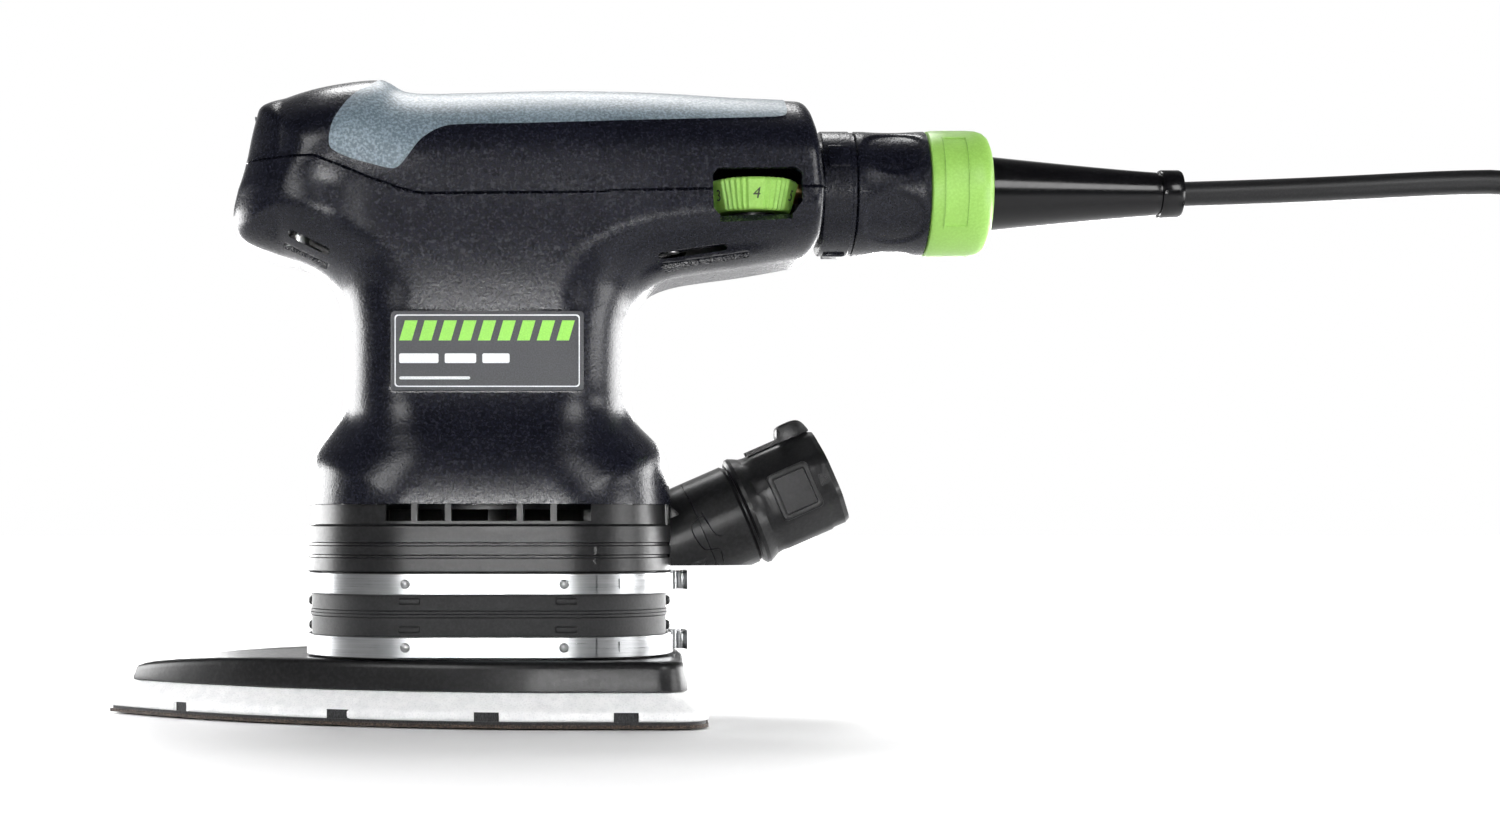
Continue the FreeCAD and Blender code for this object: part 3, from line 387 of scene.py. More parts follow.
def make_looks():
    moulded("navy_shell", (0.0014, 0.0016, 0.0042), (0.0125, 0.0135, 0.0215), 0.25, 1.6, 0.8, 0.2, 0.3)
    moulded("soft_inlay", (0.062, 0.092, 0.114), (0.235, 0.295, 0.34), 0.42, 1.5, 0.6, 0.25, 0.5)
    moulded("badge", (0.006, 0.007, 0.011), (0.026, 0.028, 0.036), 0.4, 3.2, 0.12, 0.1, 0.4)
    moulded("black_plastic", (0.0025, 0.0025, 0.0028), (0.0125, 0.0125, 0.0135), 0.32, 1.1, 0.4, 0.3, 0.3)
    moulded("green_plastic", (0.26, 0.50, 0.085), (0.31, 0.58, 0.115), 0.4, 1.6, 0.12, 0.3)
    moulded("glossy_black", (0.0025, 0.0025, 0.003), (0.007, 0.007, 0.008), 0.17, 0.9, 0.06, 0.4, 0.35)
    moulded("rubber", (0.006, 0.006, 0.0066), (0.017, 0.017, 0.018), 0.55, 1.6, 0.45, 0.4, 0.3)
    moulded("cord", (0.006, 0.006, 0.0066), (0.015, 0.015, 0.016), 0.42, 2.0, 0.2, 0.4, 0.35)
    moulded("carbon", (0.012, 0.012, 0.013), (0.035, 0.035, 0.036), 0.6, 2.5, 0.3, 0.4, 0.3)
    moulded("board", (0.01, 0.07, 0.03), (0.02, 0.12, 0.05), 0.35, 0.7, 0.1, 0.5)
    metal("steel", (0.20, 0.205, 0.21), (0.31, 0.315, 0.32), 0.27, (0.05, 0.05, 3.5))
    metal("screw_steel", (0.42, 0.42, 0.43), (0.66, 0.66, 0.67), 0.32, (1, 1, 0.2))
    metal("bearing_steel", (0.62, 0.63, 0.65), (0.82, 0.83, 0.85), 0.16, (0.3, 0.3, 3))
    metal("laminations", (0.16, 0.16, 0.17), (0.42, 0.42, 0.43), 0.4, (0.05, 0.05, 2))
    metal("copper", (0.48, 0.17, 0.07), (0.78, 0.32, 0.15), 0.3, (0.8, 0.8, 3.5))
    metal("brass", (0.55, 0.38, 0.14), (0.8, 0.6, 0.27), 0.28, (2, 0.3, 0.3))
    make_foam_look()
    make_velour_look()
    make_abrasive_look()
    make_print_looks()


def make_foam_look():
    look = Look("foam", specular=0.3)
    cloud = look.noise(0.35, 4, 0.65)
    pores = look.cells(1.7)
    base = look.ramp(cloud, [(0.3, (0.78, 0.785, 0.79)), (0.62, (0.88, 0.88, 0.88))])
    look.colour(look.blend(base, look.ramp(pores, [(0.1, (0.45, 0.46, 0.48)), (0.45, (1, 1, 1))]), 0.2,
                           "MULTIPLY"))
    look.roughness(pores, 0.8, 0.95)
    look.bump((pores, 0.4, 0.15), (cloud, 0.35, 0.3))


def make_velour_look():
    look = Look("velour", specular=0.2, sheen=0.4)
    fibres = look.noise(4.5, 3, 0.7, (1, 1, 0.3))
    look.colour(look.ramp(fibres, [(0.35, (0.012, 0.012, 0.013)), (0.7, (0.06, 0.06, 0.062))]))
    look.roughness(fibres, 0.8, 1.0)
    look.bump((fibres, 0.7, 0.2))


def make_abrasive_look():
    look = Look("abrasive", specular=0.5)
    grit = look.cells(2.6)
    patches = look.noise(0.12, 3, 0.6)
    grains = look.ramp(grit, [(0.12, (0.16, 0.11, 0.075)), (0.4, (0.055, 0.035, 0.024)),
                              (0.7, (0.02, 0.014, 0.01))])
    look.colour(look.blend(grains, look.ramp(patches, [(0.3, (0.5, 0.48, 0.46)), (0.7, (1, 1, 1))]), 0.6,
                           "MULTIPLY"))
    look.roughness(grit, 0.55, 0.9)
    look.bump((grit, 0.9, 0.2))


def make_print_looks():
    """Inks of the badge and the dial's numbers."""
    for name, dark, light in (("green_ink", (0.2, 0.55, 0.03), (0.27, 0.68, 0.05)),
                              ("pale_ink", (0.62, 0.64, 0.66), (0.84, 0.85, 0.87)),
                              ("dark_ink", (0.008, 0.014, 0.006), (0.02, 0.03, 0.014))):
        moulded(name, dark, light, 0.4, 3.0, 0.08, 0.2)


make_looks()


# ---------------------------------------------------------------- housing shells

WALL = 2.6
FOOT = 52.2                # where the housing meets the fan housing
GRID = 0.9
INNER_GRID = 1.7
# the housing's side view, from the foot's front edge over the top to the foot's rear edge
SILHOUETTE = [(-44.1, 10), (-44.1, 48), (-44.1, 52.2), (-43.9, 56), (-43.4, 60.6), (-42.6, 63.6),
              (-41.4, 65.9),
              (-39.7, 68.2), (-37.7, 70.8), (-36, 73.4), (-35.1, 76.5), (-34.8, 81), (-34.7, 88),
              (-34.8, 95), (-35.4, 99.5), (-36.6, 103), (-38.4, 106.4), (-41.2, 109.4), (-45, 111.7),
              (-50.5, 113.7), (-57, 115.8), (-60.4, 117.8), (-61.9, 120.8), (-62.1, 124), (-61.2, 128.5),
              (-59.9, 133), (-58.9, 138), (-58, 143.5), (-57, 148.2), (-56.3, 150.6), (-54.2, 152.2),
              (-50, 153.7), (-44, 155.3), (-38, 156.5), (-32, 157.35), (-28, 157.7), (-25.5, 157.5),
              (-23.3, 156.4), (-21, 155), (-18, 154.35), (-13, 154.2), (-3, 154.45), (12, 154.85),
              (28, 154.85), (45, 154.3), (60, 153.4), (73, 152.9), (95, 151.8), (99, 151.6), (125, 150.3),
              (125, 121.5), (99, 117.1), (95, 116.4), (81, 113.9),
              (66, 111.2), (54, 109.6), (47.6, 108.5), (43, 107), (40, 105), (38.1, 102.6), (36.6, 99.7),
              (35.6, 96), (35.2, 91), (35.1, 84), (35.2, 79), (35.6, 76), (36.6, 73.2), (38.4, 70.9),
              (40.8, 68.6), (42.8, 66.3), (44, 63.6), (44.8, 60),
              (45.3, 56), (45.6, 52.2), (45.6, 48), (45.6, 10)]
# half widths and corner radii up the housing, as (height, value)
HALF_WIDTHS = [(52.2, 39), (57, 38.6), (62, 37.8), (66, 36.6), (70, 34.9), (74, 33.1), (78, 32.2),
               (84, 31.8), (97, 31.6), (103, 31.5), (107, 31.35), (111, 31.1), (115, 30.8), (119, 30.45),
               (123, 30.1), (127, 29.8), (131, 29.6), (135, 29.35), (140, 29.0), (148, 28.2), (158, 27.2)]
CORNERS = [(57, 26), (66, 24), (70, 22), (74, 20), (78, 18), (99, 18), (105, 20), (112, 20), (118, 17),
           (124, 14), (130, 13), (138, 17), (150, 19)]
# (height, x) up the rear face
REAR_EDGE = [(112, 79.8), (118, 81.8), (129, 82.4), (140, 81.2), (152, 79.3)]
# the line where the two shells meet, as (x, height)
PARTING = [(-80, 136.2), (-41.4, 136.2), (-34, 133.5), (-27, 130.5), (-18.2, 127.5), (-14.6, 126.9),
           (20, 127.2), (81.4, 128.8), (100, 129.2)]
GROOVE_HALF, GROOVE_DEPTH = 0.38, 0.7
# (x, half width) just inside the outer face at the parting line
GROOVE_REACH = [(-58.2, 16.2), (-56, 20), (-54, 21.9), (-50, 24.4), (-44, 27.3), (-38, 28), (40, 28.2),
                (81, 27)]
INLAY_RAISE, INLAY_DEPTH = 0.22, 1.0
INLAY_OUTLINE = [(-24.6, 160), (-27.2, 156), (-32.4, 151.4), (-35.7, 146.2), (-37, 142.4), (-37.2, 138.6),
                 (-35.6, 136.9), (-32.1, 135.4), (-26.6, 133.9), (-22.4, 132.9), (-20.3, 133.6),
                 (-17.9, 136.6), (-15.1, 140.2), (-10.7, 143.1), (-5, 144), (12, 144.3), (40, 145.2),
                 (66, 146.2), (72.2, 146.7), (73.6, 148), (73.6, 152), (73.6, 160)]


# (first x, length, narrowing) of the nose and the tail, (x, reach, swelling) of the hump on top and
# (x, reach, narrowing) of the waist behind the nose
NOSE, TAIL_END, HUMP, WAIST = (-38, 24, 8.5), (40, 42, 1.2), (-32, 22, 1.0), (-36, 7, 0.9)
REAR_RADIUS = 2.4


def along(table, values):
    places, heights = zip(*table)
    return np.interp(values, places, heights)


def outline_distance(x, z, outline):
    """Signed distance to a closed outline in the XZ plane, negative inside."""
    nearest = np.full(x.shape, 1e9)
    inside = np.zeros(x.shape, bool)
    for (x0, z0), (x1, z1) in zip(outline, np.roll(outline, -1, axis=0)):
        run_x, run_z = x1 - x0, z1 - z0
        length = run_x ** 2 + run_z ** 2
        if length < 1e-12:
            continue
        share = np.clip(((x - x0) * run_x + (z - z0) * run_z) / length, 0, 1)
        nearest = np.minimum(nearest, (x - x0 - share * run_x) ** 2 + (z - z0 - share * run_z) ** 2)
        if run_z:
            crossing = ((z0 > z) != (z1 > z)) & (x < x0 + (z - z0) * run_x / run_z)
            inside ^= crossing
    return np.where(inside, -1, 1) * np.sqrt(nearest)


def rounded_both(first, second, radius):
    """The meeting of two solids given by signed distances, with its edge rounded."""
    a, b = first + radius, second + radius
    return np.minimum(np.maximum(a, b), 0) + np.hypot(np.maximum(a, 0), np.maximum(b, 0)) - radius


def housing_field(step):
    """The housing's outer form as signed distances on a grid, with the grid's lowest corner."""
    low = np.array([-68, -44, 46])
    high = np.array([90, 44, 164])
    x, y, z = (np.arange(start, end, step) for start, end in zip(low, high))
    flat_x, flat_z = np.meshgrid(x, z, indexing="ij")
    side = outline_distance(flat_x, flat_z, smooth_line(SILHOUETTE, 4))
    nose = np.clip((NOSE[0] - flat_x) / NOSE[1], 0, 1) ** 2
    hump = np.clip(1 - np.abs(flat_x - HUMP[0]) / HUMP[1], 0, 1) * np.clip((flat_z - 132) / 12, 0, 1)
    tail = np.clip((flat_x - TAIL_END[0]) / TAIL_END[1], 0, 1)
    high_up = np.clip((flat_z - 104) / 10, 0, 1)
    half_width = np.mean([along(HALF_WIDTHS, flat_z + lift) for lift in (-3, -1.5, 0, 1.5, 3)], axis=0)
    half_width += HUMP[2] * hump - high_up * (NOSE[2] * nose + TAIL_END[2] * tail)
    waist = np.exp(-((flat_x - WAIST[0]) / WAIST[1]) ** 2) * np.clip((flat_z - 112) / 8, 0, 1)
    half_width -= WAIST[2] * waist * np.clip((136 - flat_z) / 6, 0, 1)
    across = np.abs(y)[None, :, None] - half_width[:, None, :]
    corner = along(CORNERS, flat_z) * (1 - 0.62 * np.clip((-50 - flat_x) / 12, 0, 1))
    field = rounded_both(side[:, None, :], across, corner[:, None, :])
    rear = x[:, None, None] - along(REAR_EDGE, z)[None, None, :]
    return rounded_both(field, rear, REAR_RADIUS), low


def surface(name, field, low, step, level, look):
    """The mesh on which the field has one level."""
    grid = openvdb.FloatGrid(3.0)
    grid.copyFromArray(field.astype(np.float32))
    points, quads = grid.convertToQuads(level)
    piece = make_piece(name, np.array(points) * step + low, np.array(quads), look)
    return outward(piece)


def flip(piece):
    piece.data.flip_normals()
    return piece


def thick_skin(name, outside, inside, look):
    """The solid between two levels of the housing's form, each (grid step, level)."""
    skins = []
    for number, (step, level) in enumerate((outside, inside)):
        field, low = housing_field(step)
        skins.append(surface(f"{name}_{number}", field, low, step, level, look))
    flip(skins[1])
    return joined(name, skins)


def level_height(x):
    return np.zeros_like(x)


def parting_height(x):
    return along(PARTING, x)


def cut_level(piece, height, keep_above=True, line=level_height, marks=()):
    """Cuts a mesh at a height above a line of x and closes it there. At the heights in marks it only
    gets extra edges."""
    mesh = piece.data
    shape = bmesh.new()
    shape.from_mesh(mesh)
    for sign in (-1, 1):
        places = np.array([vert.co.x / MM for vert in shape.verts])
        for vert, lift in zip(shape.verts, line(places)):
            vert.co.z += sign * lift * MM
        if sign == 1:
            break
        for mark in marks:
            bmesh.ops.bisect_plane(shape, geom=shape.verts[:] + shape.edges[:] + shape.faces[:], dist=1e-7,
                                   plane_co=(0, 0, mark * MM), plane_no=(0, 0, 1))
        made = bmesh.ops.bisect_plane(shape, geom=shape.verts[:] + shape.edges[:] + shape.faces[:], dist=1e-7,
                                      plane_co=(0, 0, height * MM), plane_no=(0, 0, 1),
                                      clear_inner=keep_above, clear_outer=not keep_above)
        rim = [item for item in made["geom_cut"] if isinstance(item, bmesh.types.BMEdge)]
        bmesh.ops.triangle_fill(shape, use_beauty=True, edges=rim)
        bmesh.ops.recalc_face_normals(shape, faces=shape.faces)
    shape.to_mesh(mesh)
    shape.free()
    finish_mesh(piece)
    return piece


def sink_groove(piece):
    """Draws the outer edge of the parting line inwards, which leaves a fine groove."""
    mesh = piece.data
    points = np.zeros(len(mesh.vertices) * 3)
    normals = np.zeros(len(mesh.vertices) * 3)
    mesh.vertices.foreach_get("co", points)
    mesh.vertices.foreach_get("normal", normals)
    points, normals = points.reshape(-1, 3) / MM, normals.reshape(-1, 3)
    near = np.abs(points[:, 2] - along(PARTING, points[:, 0])) < 0.02
    shell_middle = np.stack([np.clip(points[:, 0], -45, 68), np.zeros(len(points)),
                             along(PARTING, points[:, 0])], axis=1)
    away = points - shell_middle
    away[:, 2] = 0
    distance = np.linalg.norm(away, axis=1, keepdims=True)
    outer = near & ((np.abs(points[:, 1]) > along(GROOVE_REACH, points[:, 0])) | (points[:, 0] < -58.2)
                    | (points[:, 0] > 80.6))
    points[outer] -= (away / np.maximum(distance, 1e-6))[outer] * GROOVE_DEPTH
    mesh.vertices.foreach_set("co", (points * MM).ravel())
    mesh.update()


# (start, finish, height) of each slot, and the half width at which the slots cut the wall
SIDE_VENTS = [((-47.6, 118.2), (-37.6, 113.3), 1.7), ((-49.5, 115.6), (-38.3, 110.2), 1.5),
              ((-50.6, 113.9), (-40.0, 108.4), 1.2), ((42.2, 112.4), (59.0, 114.8), 1.5),
              ((43.0, 110.3), (64.6, 113.4), 1.3), ((44.0, 108.9), (62.6, 111.4), 1.1)]
VENT_WALL = 31


def vent_cutter(number, start, finish, height, sign):
    """A slanting slot with round ends through the housing's side wall."""
    run = math.hypot(finish[0] - start[0], finish[1] - start[1])
    outline = rounded_outline(0, run, -height / 2, height / 2, height * 0.45, 3)
    piece = prism(f"vent_{number}", outline, -13, 13)
    turn = Matrix.Rotation(-math.atan2(finish[1] - start[1], finish[0] - start[0]), 4, "Y")
    return move(piece, shift(start[0], sign * VENT_WALL, start[1]) @ turn)


def housing_cutters():
    cutters = [vent_cutter(f"{number}_{sign}", *vent, sign)
               for number, vent in enumerate(SIDE_VENTS) for sign in (-1, 1)]
    ring = [(13.6 * math.cos(math.radians(step * 5)), 131 + 13.6 * math.sin(math.radians(step * 5)))
            for step in range(72)]
    cutters.append(prism("inlet_hole", ring, 74, 90, axis="X"))
    dial = [(55.2, 123.4), (55.0, 131.6), (56.2, 133.1), (75.0, 133.4), (76.6, 132.2), (76.8, 125.4),
            (74.6, 122.4), (56.4, 122.0)]
    cutters.append(prism("dial_window", dial, -40, -10))
    cutters.append(prism("rocker_window", rounded_outline(-7.1, 7.1, 139.4, 150.2, 2.5), -70, -50, axis="X"))
    badge_low, badge_high = low_high("badge_plate")
    badge = rounded_outline(badge_low[0] - 0.45, badge_high[0] + 0.45, badge_low[2] - 0.45,
                            badge_high[2] + 0.45, 1.2)
    cutters.append(prism("badge_recess", badge, -40, -31.05))
    return cutters


def dial_shelf():
    """A cutter that slopes the housing wall down to the dial, below its window."""
    outline = [(-40, 119.4), (-29.6, 119.4), (-25.8, 122.4), (-25.8, 123.4), (-40, 123.4)]
    return prism("dial_shelf", outline, 56.8, 74.4, axis="X")


# dark plates behind the vents, as (x, height) outlines
SCREEN_OUTLINES = [[(-50.5, 119), (-45, 117), (-40.8, 114.6), (-36, 111), (-32, 111), (-32, 123),
                    (-50.5, 123)],
                   [(36, 108), (41, 111.4), (44, 113), (48, 114.1), (54, 115.1), (61, 116.1), (61, 117.2),
                    (36, 117.2)]]
SCREEN_NEAR, SCREEN_FAR = 17.2, 18.8


def vent_screens():
    """Labyrinth plates inside the shell that keep the motor out of sight behind the vents."""
    plates = []
    for number, outline in enumerate(SCREEN_OUTLINES):
        for sign in (-1, 1):
            low, high = span(sign, SCREEN_NEAR, SCREEN_FAR)
            plates.append(prism(f"vent_screen_{number}_{sign}", outline, low, high, "black_plastic"))
    return joined("vent_screens", plates)


def build_housing():
    whole = thick_skin("housing", (GRID, 0.0), (INNER_GRID, -WALL), "navy_shell")
    cut_level(whole, FOOT)
    carve(whole, [joined("housing_cuts", housing_cutters()), dial_shelf()])
    upper = whole.copy()
    upper.data = whole.data.copy()
    bpy.context.scene.collection.objects.link(upper)
    upper.name = "housing_upper_shell"
    whole.name = "housing_lower_shell"
    cut_level(upper, 0, True, parting_height, (GROOVE_HALF,))
    cut_level(whole, 0, False, parting_height, (-GROOVE_HALF,))
    for shell in (upper, whole):
        sink_groove(shell)
        finish_mesh(shell, 40)
    whole = joined("housing_lower_shell", [whole, vent_screens()], 40)
    whole.name = "housing_lower_shell"
    attach(upper, "navy_shell", "housing", "upper_housing")
    attach(whole, "navy_shell", "housing", "lower_housing")
    inlay = thick_skin("grip_inlay_skin", (GRID, INLAY_RAISE), (INNER_GRID, -INLAY_DEPTH), "soft_inlay")
    outline = [tuple(point) for point in smooth_line(INLAY_OUTLINE, 4)]
    carve(inlay, [prism("inlay_outline", outline, -40, 40)], "INTERSECT", 45)
    attach(inlay, "soft_inlay", "housing", "grip_inlay")


# ---------------------------------------------------------------- fan housing, sleeve and bands

PLAN_HALF_LENGTH, PLAN_HALF_WIDTH, PLAN_CORNER, PLAN_CENTRE = 44.9, 39.0, 26.0, 0.7
PLAN_REAR = PLAN_CENTRE + PLAN_HALF_LENGTH


def plan(inset, corner_steps=22, side_steps=12):
    """The rounded plan of the foot, moved inwards, as (x, y) points."""
    half_x, half_y = PLAN_HALF_LENGTH - inset, PLAN_HALF_WIDTH - inset
    radius = PLAN_CORNER - inset
    points = []
    for sign_x, sign_y, start in ((1, 1, 0), (-1, 1, 90), (-1, -1, 180), (1, -1, 270)):
        centre = (sign_x * (half_x - radius), sign_y * (half_y - radius))
        for step in range(corner_steps + 1):
            angle = math.radians(start + 90 * step / corner_steps)
            points.append((centre[0] + radius * math.cos(angle), centre[1] + radius * math.sin(angle)))
        ahead = {0: (-1, 1), 90: (-1, -1), 180: (1, -1), 270: (1, 1)}[start]
        last = points[-1]
        goal = (last[0] if start in (90, 270) else ahead[0] * (half_x - radius),
                last[1] if start in (0, 180) else ahead[1] * (half_y - radius))
        for step in range(1, side_steps):
            share = step / side_steps
            points.append((last[0] + (goal[0] - last[0]) * share, last[1] + (goal[1] - last[1]) * share))
    return [(x + PLAN_CENTRE, y) for x, y in points]


def ring(name, profile, look, closed=True, sharp=35):
    """Carries a profile of (inset, height) around the plan."""
    return loft(name, [[(x, y, height) for x, y in plan(inset)] for inset, height in profile], look,
                closed, sharp)


def nub(name, x, y, z, radius, rise, look):
    """A low round stud on a side wall that faces along Y, or along X where y is 0."""
    profile = [(0.02, rise), (radius * 0.55, rise * 0.92), (radius * 0.85, rise * 0.6), (radius, 0),
               (radius, -0.6), (0.02, -0.6)]
    piece = lathe(name, profile, look, count=20)
    if y:
        turn = Matrix.Rotation(math.copysign(math.pi / 2, y), 4, "Z")
    else:
        turn = Matrix.Rotation(0 if x > 0 else math.pi, 4, "Z")
    return move(piece, shift(x, y, z) @ turn)


FAN_LOW, FAN_STEP, FAN_WALL = 35.9, 47.1, 2.6
FAN_WINDOW, FAN_WINDOW_LOW = (-23, 25.6), 48.1
FAN_RIBS = [-17, -9, 8, 16]
# (name, first x, last x, lowest, highest, half width of its floor)
WALL_HOLLOWS = [("recess", 26.3, 38.2, 37.9, 42.6, 37.9), ("notch", -34, -27, 44.6, 46.2, 38.2)]
FAN_OPENING, LIP_INNER, LIP_OUTER = 31.3, 31.5, 33.2       # radii around the fan


def flat_ring(name, outer, inner, low, high):
    """A level ring between two outlines of (x, y) points."""
    rings = [[(x, y, z) for x, y in outline]
             for outline, z in ((outer, low), (outer, high), (inner, high), (inner, low))]
    return loft(name, rings, "black_plastic", closed=True)


def build_fan_housing():
    outer = [(0.35, FAN_LOW), (0, FAN_LOW + 0.35), (0, 39.2), (0.75, 39.45), (0.75, 39.9), (0, 40.15),
             (0, 42.1), (0.75, 42.35), (0.75, 42.8), (0, 43.05), (0, FAN_STEP - 0.3), (0.3, FAN_STEP),
             (1.1, FAN_STEP + 0.05), (1.3, FAN_STEP + 0.3), (1.3, FOOT - 0.1)]
    inner = [(FAN_WALL, FOOT - 0.1), (FAN_WALL, FAN_LOW + 1.6), (5.6, FAN_LOW + 1.6), (5.6, 27), (3.6, 27),
             (3.6, FAN_LOW)]
    shell = ring("fan_housing_shell", outer + inner, "black_plastic", sharp=28)
    window = box("window", (FAN_WINDOW[0], -60, FAN_WINDOW_LOW), (FAN_WINDOW[1], 60, FOOT + 1))
    hollows = []
    for sign in (-1, 1):
        for name, x, end, low, high, depth in WALL_HOLLOWS:
            near, far = span(sign, depth, 45)
            hollows.append(box(f"{name}_{sign}", (x, near, low), (end, far, high)))
    duct = move(lathe("duct", [(DUCT_RADIUS, -40), (DUCT_RADIUS, 2)], None), PORT_FRAME)
    limit = box("duct_limit", (40, -20, 20), (70, 20, 45.5))
    carve(duct, [limit], "INTERSECT")
    carve(shell, [window, joined("hollows", hollows), duct], sharp=28)
    ribs = []
    for x in FAN_RIBS:
        for sign in (-1, 1):
            near, far = span(sign, 32.9, 37.2)
            ribs.append(box(f"rib_{x}_{sign}", (x, near, FAN_WINDOW_LOW - 1), (x + 1.5, far, FOOT),
                            "black_plastic"))
    baffle_outer, baffle_inner = plan(FAN_WALL + 0.02), []
    for x, y in baffle_outer:
        angle = math.atan2(y, x - PLAN_CENTRE)
        baffle_inner.append((FAN_OPENING * math.cos(angle), FAN_OPENING * math.sin(angle)))
    baffle = flat_ring("baffle", baffle_outer, baffle_inner, 45.6, 47.0)
    turns = [math.radians(step * 5) for step in range(72)]
    lip_outer, lip_inner = ([(radius * math.cos(turn), radius * math.sin(turn)) for turn in turns]
                            for radius in (LIP_OUTER, LIP_INNER))
    lip = flat_ring("window_lip", lip_outer, lip_inner, 50.9, 52.1)
    attach(joined("fan_housing_body", [shell, baffle, lip] + ribs, 28), "black_plastic", "housing",
           "fan_housing")


SLEEVE_INSET, SLEEVE_SEAM = 1.15, 26.0
UPPER_STUDS, LOWER_STUDS = 29.1, 22.4       # heights of the studs on the two halves


def sleeve_half(name, low, high, seam_at_top):
    """Half of the rubber sleeve, with a fine bead along the seam between the halves."""
    edge, bead = 0.28, 0.3
    inset = SLEEVE_INSET
    if seam_at_top:
        outer = [(inset + edge, low), (inset, low + edge), (inset, high - 0.9), (inset - bead, high - 0.65),
                 (inset - bead, high - 0.05), (inset, high)]
    else:
        outer = [(inset, low), (inset - bead, low + 0.05), (inset - bead, low + 0.65), (inset, low + 0.9),
                 (inset, high - edge), (inset + edge, high)]
    return ring(name, [(3.3, low)] + outer + [(3.3, high)], "rubber", sharp=30)


def build_sleeve():
    upper = sleeve_half("sleeve_upper", SLEEVE_SEAM + 0.03, 35.6, False)
    lower = sleeve_half("sleeve_lower", 15.5, SLEEVE_SEAM - 0.03, True)
    side = PLAN_HALF_WIDTH - SLEEVE_INSET
    rear, front = PLAN_REAR - SLEEVE_INSET, PLAN_CENTRE - PLAN_HALF_LENGTH + SLEEVE_INSET
    studs = {UPPER_STUDS: [upper], LOWER_STUDS: [lower]}
    for z, group in studs.items():
        for x in (-17.4, 19.8):
            for sign in (-1, 1):
                low, high = span(sign, side - 0.5, side + 0.8)
                group.append(rounded_box(f"sleeve_tab_{x}_{z}_{sign}", (x - 2.6, low, z - 0.75),
                                         (x + 2.6, high, z + 0.75), 0.4, "rubber"))
        for x in (front, rear):
            for y in (-10, 10):
                drop_by = 0.6 if z == UPPER_STUDS else 0
                group.append(move(nub(f"sleeve_nub_{x:.0f}_{y}_{z}", x, 0, z - drop_by, 1.3, 1.2, "rubber"),
                                  shift(0, y)))
    attach(joined("sleeve_upper_half", studs[UPPER_STUDS], 30), "rubber", "housing", "rubber_sleeve")
    attach(joined("sleeve_lower_half", studs[LOWER_STUDS], 30), "rubber", "pad", "rubber_sleeve")


BAND_HEIGHT, BAND_THICKNESS = 5.1, 0.8
# (name, insets of the two faces, (first x, last x, highest y), margins below and above)
BAND_ENDS = [("overlap", (-0.55, -0.02), (27, 99, -8), (0.35, 0.35)),
             ("tongue", (-0.95, -0.5), (31, 43, -10), (1.45, 1.25))]


def corner_line(inset, left, right, back):
    """The stretch of the plan around its rear corner on the -Y side."""
    return [(x, y) for x, y in plan(inset) if left < x < right and y < back]


def build_band(level, low, body):
    """A steel clamp band with pressed dimples, its tongue and the folded ear of its clasp."""
    high = low + BAND_HEIGHT
    profile = [(BAND_THICKNESS, low), (0.18, low), (0.0, low + 0.18), (0.0, high - 0.18), (0.18, high),
               (BAND_THICKNESS, high)]
    band = [ring(f"{level}_band_strip", profile, "steel", sharp=30)]
    for x in (-18.3, 19.2):
        for sign in (-1, 1):
            band.append(nub(f"{level}_dimple_{x}_{sign}", x, sign * (PLAN_HALF_WIDTH - 0.05),
                            low + 0.5 * BAND_HEIGHT, 1.15, 0.42, "steel"))
    for part, insets, limits, margins in BAND_ENDS:
        outside, inside = (corner_line(inset, *limits) for inset in insets)
        band.append(strip(f"{level}_{part}", outside, inside, low + margins[0], high - margins[1], "steel"))
    attach(joined(f"{level}_clamp_band_strip", band, 30), "steel", body, f"{level}_clamp_band")
    build_clasp(level, low, body)


def strip(name, outside, inside, low, high, look):
    """A bent strip of sheet between two open lines of (x, y) points."""
    count = min(len(outside), len(inside))
    rings = []
    for (x0, y0), (x1, y1) in zip(outside[:count], inside[:count]):
        rings.append([(x0, y0, low), (x0, y0, high), (x1, y1, high), (x1, y1, low)])
    return loft(name, rings, look)


CLASP_HALF_WIDTH = 5.7


def build_clasp(level, low, body):
    """The clasp's folded ear: a strip that rises from the band, curls over and comes back."""
    start, thick = PLAN_REAR, 0.75
    route = smooth_line([(start + 0.2, 0), (start + 1.3, 0), (start + 2.0, 0.1), (start + 3.0, 0.5),
                         (start + 3.9, 0.4), (start + 4.6, -0.2)], 4)
    half = CLASP_HALF_WIDTH
    high = low + BAND_HEIGHT + 0.1
    rings = []
    for index, (x, bow) in enumerate(route):
        share = index / (len(route) - 1)
        inward = 0.9 * math.sin(math.pi * share)
        rings.append([(x, -half + bow, low + 0.4 + 0.25 * inward), (x, -half + bow, high - 0.2 * inward),
                      (x, half - bow, high - 0.2 * inward), (x, half - bow, low + 0.4 + 0.25 * inward)])
    ear = soften(loft("ear", rings, "steel"), 0.35, 2)
    hollow = box("ear_hollow", (start + 0.2 + thick, -half + 1.2, low - 1),
                 (start + 3.7, half - 1.2, high + 1))
    groove = move(lathe("ear_groove", [(1.5, -9), (1.5, 9)], None, count=32),
                  shift(start + 1.6, -half - 0.9, low + 2.7) @ Matrix.Rotation(math.pi / 2, 4, "Y"))
    carve(ear, [hollow, groove])
    attach(ear, "steel", body, f"{level}_band_clasp")
    ear.name = f"{level}_clasp_ear"


# ---------------------------------------------------------------- dust port

PORT_TILT, PORT_AT = math.radians(23.6), (64.7, 0, 50.3)
PORT_FRAME = shift(*PORT_AT) @ Matrix.Rotation(-PORT_TILT, 4, "Y")
PORT_FLAT = 37.1
PORT_RADIUS, PORT_BORE, DUCT_RADIUS = 13.0, 11.0, 9.5


def off_wall(*points):
    """(x, z) points given from the foot's rear wall and the port's flat underside."""
    return [(PLAN_REAR + x, PORT_FLAT + z) for x, z in points]


